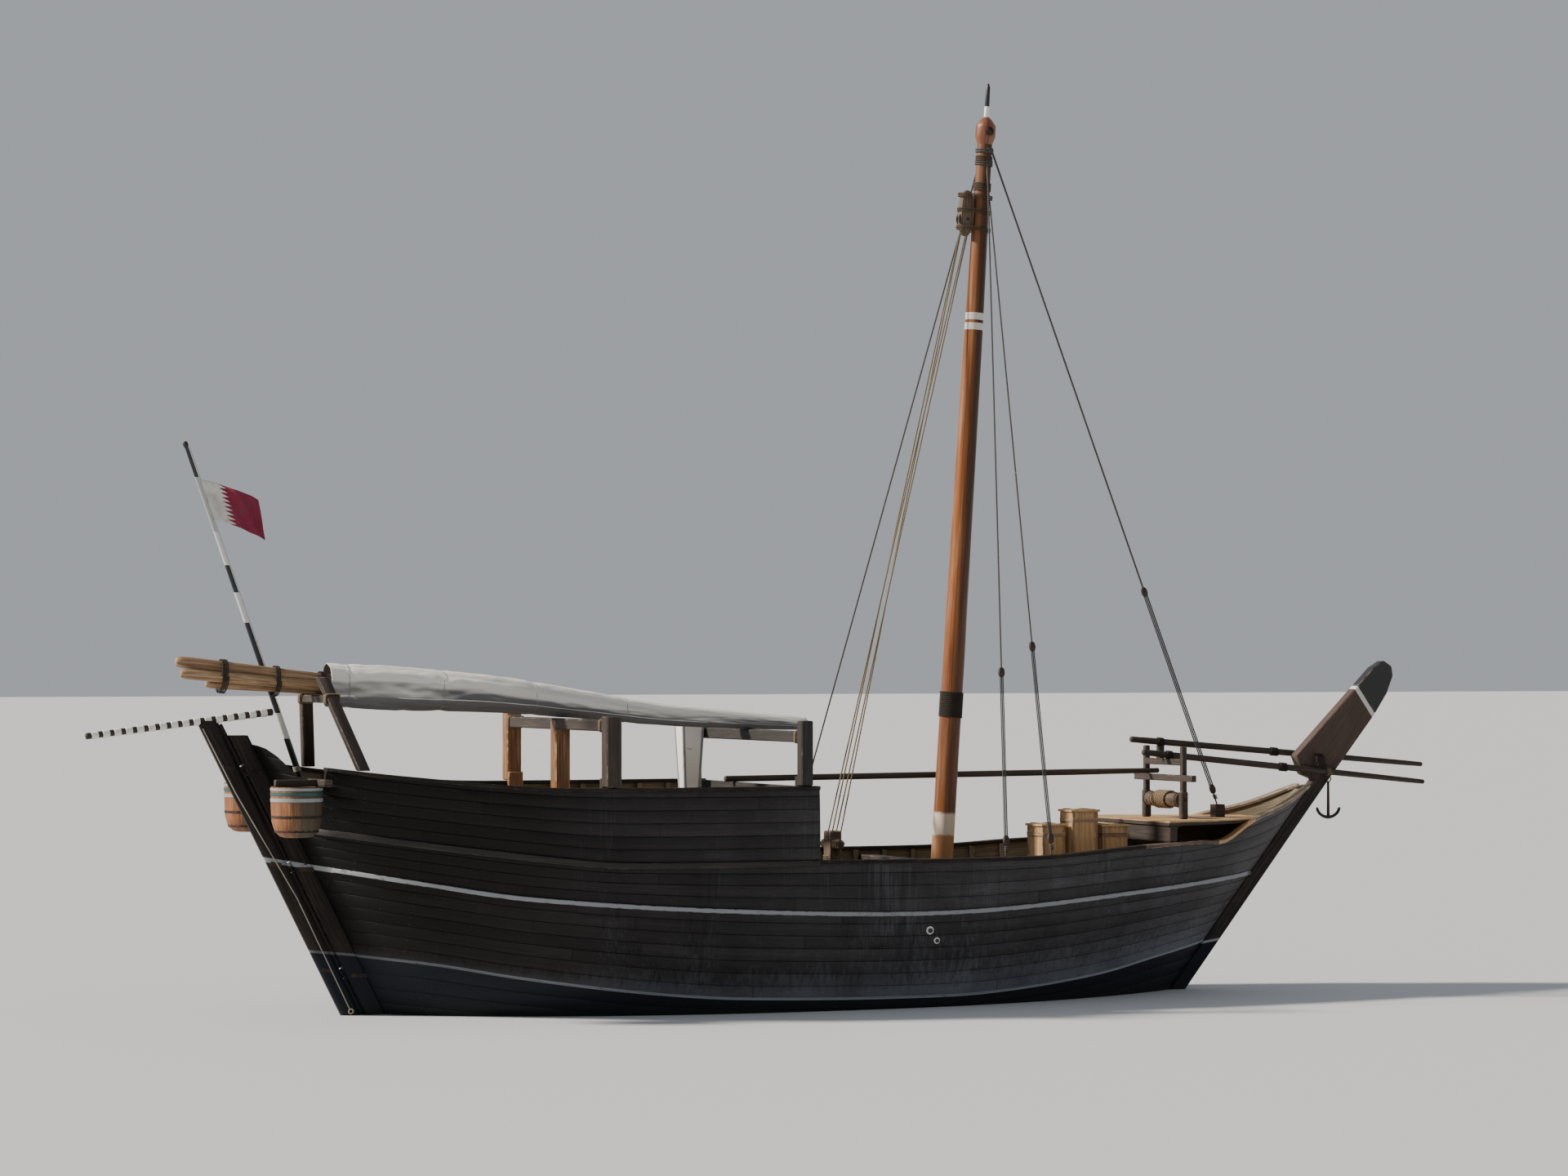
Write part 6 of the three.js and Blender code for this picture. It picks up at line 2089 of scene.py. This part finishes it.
def windlass():
    """A twelve-sided barrel with iron bands and black-painted blocks for its bar holes, on an iron axle,
    with turns of rope round it.
    """
    bm = start()
    half, axle = BOW_Y - 0.081, BOW_Y + 0.08
    long = 2 * half
    barrel = [
        (0.0, 0.14), (0.012, 0.15), (0.3, 0.15), (0.31, 0.138), (long - 0.31, 0.138), (long - 0.3, 0.15),
        (long - 0.012, 0.15), (long, 0.14),
    ]
    drum_part(bm, 0, half, barrel, 12)
    drum_part(bm, 0, axle, rounded(2 * axle, 0.04, 0.008), 24, 1)
    for y in (-half + 0.06, half - 0.06):
        drum_part(bm, y, 0.03, rounded(0.06, 0.156, 0.004, 0.008), 36, 1)
    for k in range(4):
        angle = math.pi * k / 2 + 0.26
        out = Vector((math.cos(angle), 0, math.sin(angle)))
        for y in (-half + 0.19, half - 0.19):
            spot = Vector((BOW_X, y, DRUM_Z)) + out * 0.13
            # Each bar hole is a black-painted block on the barrel, standing in as painted shade for the
            # hole.
            timber(bm, spot, spot + out * 0.026, 0.06, 0.06, 0.004, 2, up=TO_PORT)
    finishes = ["weathered_timber", "black_iron", "black_paint"]
    complete("windlass_barrel", bm, finishes, "weathered_timber", ["windlass_drum"], "windlass")
    cable = turns_round((BOW_X, 0.0, DRUM_Z), TO_PORT, 0.166, 0.166, 0.058, 9)
    ropes("windlass_turns", [(cable, 0.027)], "windlass", "coir_rope")


def bow_spars():
    """Two spars over the bow, lashed to the frame, again further out and to each other."""
    lashings, middles = [], []
    for word, side, seat, aft_x, fore in BOW_SPARS:
        y = side * (0.125 + BOW_SPAR_R + 0.0003)
        bm = start()
        aft, tip = (aft_x, y, bow_spar_z(seat, fore, aft_x)), (fore[0], y, fore[1])
        length = (Vector(tip) - Vector(aft)).length
        radii = [
            (0, 0.045), (0.015, 0.06), (0.4, BOW_SPAR_R), (length * 0.6, BOW_SPAR_R), (length - 0.4, 0.052),
            (length - 0.02, 0.046), (length, 0.03),
        ]
        spar(bm, aft, tip, radii)
        complete("bow_spar_timber_" + word, bm, ["oiled_timber"], "dark_timber", ["bow_spar_" + word])
        middles.append(bow_spar_z(seat, fore, 11.75))
        for x, count in ((BOW_X, 5), (10.9, 6)):
            spot = (x, y, bow_spar_z(seat, fore, x))
            lashings.append((turns_round(spot, SPAR_WAY, 0.079, 0.079, 0.028, count, 20), 0.013))
    lashings.append((turns_round((11.75, 0.0, sum(middles) / 2), SPAR_WAY, 0.275, 0.2, 0.036, 6, 48), 0.016))
    ropes("bow_lashings", lashings, finish="tarred_rope")


def spare_spar():
    """A spare spar laid from the fore gallows to the bow frame."""
    bm = start()
    seats = ((-0.87, BREAST_BAR + 0.0624), (8.24, LOWER_BAR + 0.0624))
    ends = [(x, 0.56, straight(seats, x)) for x in (-1.05, BOW_X + 0.15)]
    length = (Vector(ends[1]) - Vector(ends[0])).length
    radii = [
        (0, 0.045), (0.015, 0.06), (length * 0.4, 0.062), (length * 0.8, 0.062), (length - 0.015, 0.05),
        (length, 0.035),
    ]
    spar(bm, *ends, radii)
    complete("spare_spar_timber", bm, ["oiled_timber"], "dark_timber", ["spare_spar"])


bow_frame()
windlass()
bow_spars()
spare_spar()


def tube(bm, points, radii, sides):
    """A round bar along a line of points."""
    points = [Vector(p) for p in points]
    rows = []
    for i, point in enumerate(points):
        way = points[min(i + 1, len(points) - 1)] - points[max(i - 1, 0)]
        across = way.cross(Vector((0, 1, 0.1))).normalized()
        rise = across.cross(way).normalized()
        rows.append([point + (across * c + rise * s) * radii[i] for c, s in circle(sides)])
    grid(bm, rows)


GRAPNEL_ARMS, ARM_STEPS = 4, 8


def grapnel():
    """A grapnel of four arms with palms, folded flat under the bow spar, with a ring and a lashing."""
    low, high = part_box("anchor")
    x, y, foot = (low.x + high.x) / 2, (low.y + high.y) / 2, low.z
    bm = start()
    shank = [(x, y, foot + rise) for rise in (0.0, 0.02, 0.4, 0.74, 0.765)]
    tube(bm, shank, [0.024, 0.032, 0.028, 0.024, 0.014], 14)
    for k in range(GRAPNEL_ARMS):
        angle = math.pi * (2 * k + 1) / GRAPNEL_ARMS
        cx, cy = math.cos(angle) * 0.37, math.sin(angle) * 0.037
        bends = [1.5 * i / ARM_STEPS for i in range(ARM_STEPS + 1)]
        arm = [
            (x + cx * math.sin(b), y + cy * math.sin(b), foot + 0.03 + 0.22 * (1 - math.cos(b)))
            for b in bends
        ]
        tube(bm, arm, [0.036 - 0.0026 * i for i in range(ARM_STEPS)] + [0.007], 10)
        palm = Vector(arm[6])
        out = (Vector(arm[8]) - Vector(arm[5])).normalized()
        timber(bm, palm - out * 0.035, palm + out * 0.04, 0.012, 0.05, 0.003, up=TO_PORT, taper=0.4)
    rows = []
    for c, s in circle(24):
        out = Vector((c, 0, s))
        centre = Vector((x, y, foot + 0.81)) + out * 0.06
        rows.append([centre + (out * a + Vector(TO_PORT) * b) * 0.012 for a, b in circle(10)])
    grid(bm, [*rows, rows[0]], ends=False)
    bmesh.ops.remove_doubles(bm, verts=bm.verts, dist=1e-5)
    complete("grapnel", bm, ["black_iron"], "iron", ["anchor"])
    _, _, seat, _, fore = BOW_SPARS[0]
    lashing = turns_round((x, y, bow_spar_z(seat, fore, x)), SPAR_WAY, 0.079, 0.079, 0.026, 4, 20)
    ropes("grapnel_lashing", [(lashing, 0.012)], finish="coir_rope")


grapnel()


# Outlets of pumps: x, height, size of the collar, and length, radius and mouth of the pipe.
OUTLETS = ((1.75, 1.5, 1.0, 0.045, 0.046, 0.04), (1.91, 1.3, 0.8, 0.04, 0.038, 0.032))
COLLAR = ((0.0, 0.078), (0.016, 0.078), (0.022, 0.072), (0.023, 0.048))


def side_outlets():
    """Black pipes in white collars through the starboard side, side by side."""
    bm = start()
    out = hull_normal(*OUTLETS[0][:2], -1)
    for x, z, size, long, radius, mouth in OUTLETS:
        spot = Vector((x, -half_breadth(x, z), z))
        spar(bm, spot - out * 0.005, spot + out * 0.02, [(at, r * size) for at, r in COLLAR])
        spar(bm, spot, spot + out * long, [(0.0, radius), (long - 0.005, radius), (long, mouth)], 20, 1)
    complete("side_outlets", bm, ["white_paint", "black_paint"], "white_paint")


side_outlets()

# Deck furniture

BOXES = ("water_tank", "cook_box", "gear_locker")
BOX_BOARD, LID_BOARD, BATTEN_DEEP = 0.125, 0.15, 0.022


def box_walls(bm, x0, x1, y0, y1, foot, eaves):
    """Upright boards round a box, with corner posts and two battens on each wall."""
    walls = ((x0, x1, y0, True), (x0, x1, y1, True), (y0, y1, x0, False), (y0, y1, x1, False))
    for a, b, fixed, along_x in walls:
        count = max(1, round((b - a - 0.1) / BOX_BOARD))
        wide = (b - a - 0.1) / count
        inward = BATTEN_DEEP if fixed in (x0, y0) else -BATTEN_DEEP
        for k in range(count):
            middle = a + 0.05 + wide * (k + 0.5)
            spot = (middle, fixed + inward) if along_x else (fixed + inward, middle)
            up = TO_PORT if along_x else AHEAD
            timber(bm, (*spot, foot), (*spot, eaves), wide - JOINT, 0.022, 0.004, up=up)
    for x in (x0 + 0.035, x1 - 0.035):
        for y in (y0 + 0.035, y1 - 0.035):
            timber(bm, (x, y, foot), (x, y, eaves), 0.07, 0.07, 0.008, 1, up=AHEAD)
    for z in (foot + 0.16, eaves - 0.16):
        for y in (y0 + 0.004, y1 - 0.004):
            timber(bm, (x0, y, z), (x1, y, z), BATTEN_DEEP, 0.08, 0.005, 1)
        for x in (x0 + 0.004, x1 - 0.004):
            timber(bm, (x, y0, z), (x, y1, z), BATTEN_DEEP, 0.08, 0.005, 1)


def boarded_box(node):
    """A deck box of upright boards between corner posts, with battens and a boarded lid."""
    low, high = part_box(node)
    x0, x1, y0, y1 = low.x + 0.03, high.x - 0.03, low.y + 0.03, high.y - 0.03
    foot, eaves = low.z, high.z - 0.06
    bm = start()
    box_walls(bm, x0, x1, y0, y1, foot, eaves)
    count = max(2, round((high.y - low.y) / LID_BOARD))
    wide = (high.y - low.y) / count
    lid, cross = high.z - 0.035, high.z - 0.006
    for k in range(count):
        y = low.y + wide * (k + 0.5)
        timber(bm, (low.x, y, lid), (high.x, y, lid), wide - JOINT, 0.045, 0.005)
    for x in (low.x + 0.14, high.x - 0.14):
        timber(bm, (x, low.y + 0.02, cross), (x, high.y - 0.02, cross), 0.08, 0.012, 0.003, 1)
    fill, wide, deep = ((x0 + x1) / 2, (y0 + y1) / 2), x1 - x0 - 0.08, y1 - y0 - 0.08
    timber(bm, (*fill, foot + 0.02), (*fill, eaves - 0.01), wide, deep, 0.01, 1, up=TO_PORT)
    complete(node + "_boards", bm, ["box_boards", "bare_spar"], "box_timber", [node])


for node in BOXES:
    boarded_box(node)


def vent_trunk():
    """A white tapered trunk of four framed panels."""
    low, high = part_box("vent_trunk")
    x, y, brim = (low.x + high.x) / 2, (low.y + high.y) / 2, high.z - 0.06
    bm = start()

    def half_at(z):
        return 0.15 + (0.235 - 0.15) * (z - low.z) / (high.z - low.z)

    rows = []
    for z, inset in (
        (low.z, 0.02), (low.z + 0.02, 0.012), (brim, 0.012), (brim + 0.005, 0.0), (high.z - 0.01, 0.0),
        (high.z, 0.012),
    ):
        half = half_at(z) - inset
        rows.append(eased_square(Vector((x, y, z)), Vector(AHEAD), Vector(TO_PORT), half, half, 0.02))
    grid(bm, rows, corners=CORNERS, worn_ends=True)
    a, b = half_at(low.z) - 0.025, half_at(brim) - 0.025
    for sx in (-1, 1):
        for sy in (-1, 1):
            ends = (x + sx * a, y + sy * a, low.z + 0.001), (x + sx * b, y + sy * b, brim)
            timber(bm, *ends, 0.05, 0.05, 0.008, 1, up=AHEAD)
    complete("vent_trunk_panels", bm, ["white_paint", "strake_paint"], "white_paint", ["vent_trunk"])


vent_trunk()
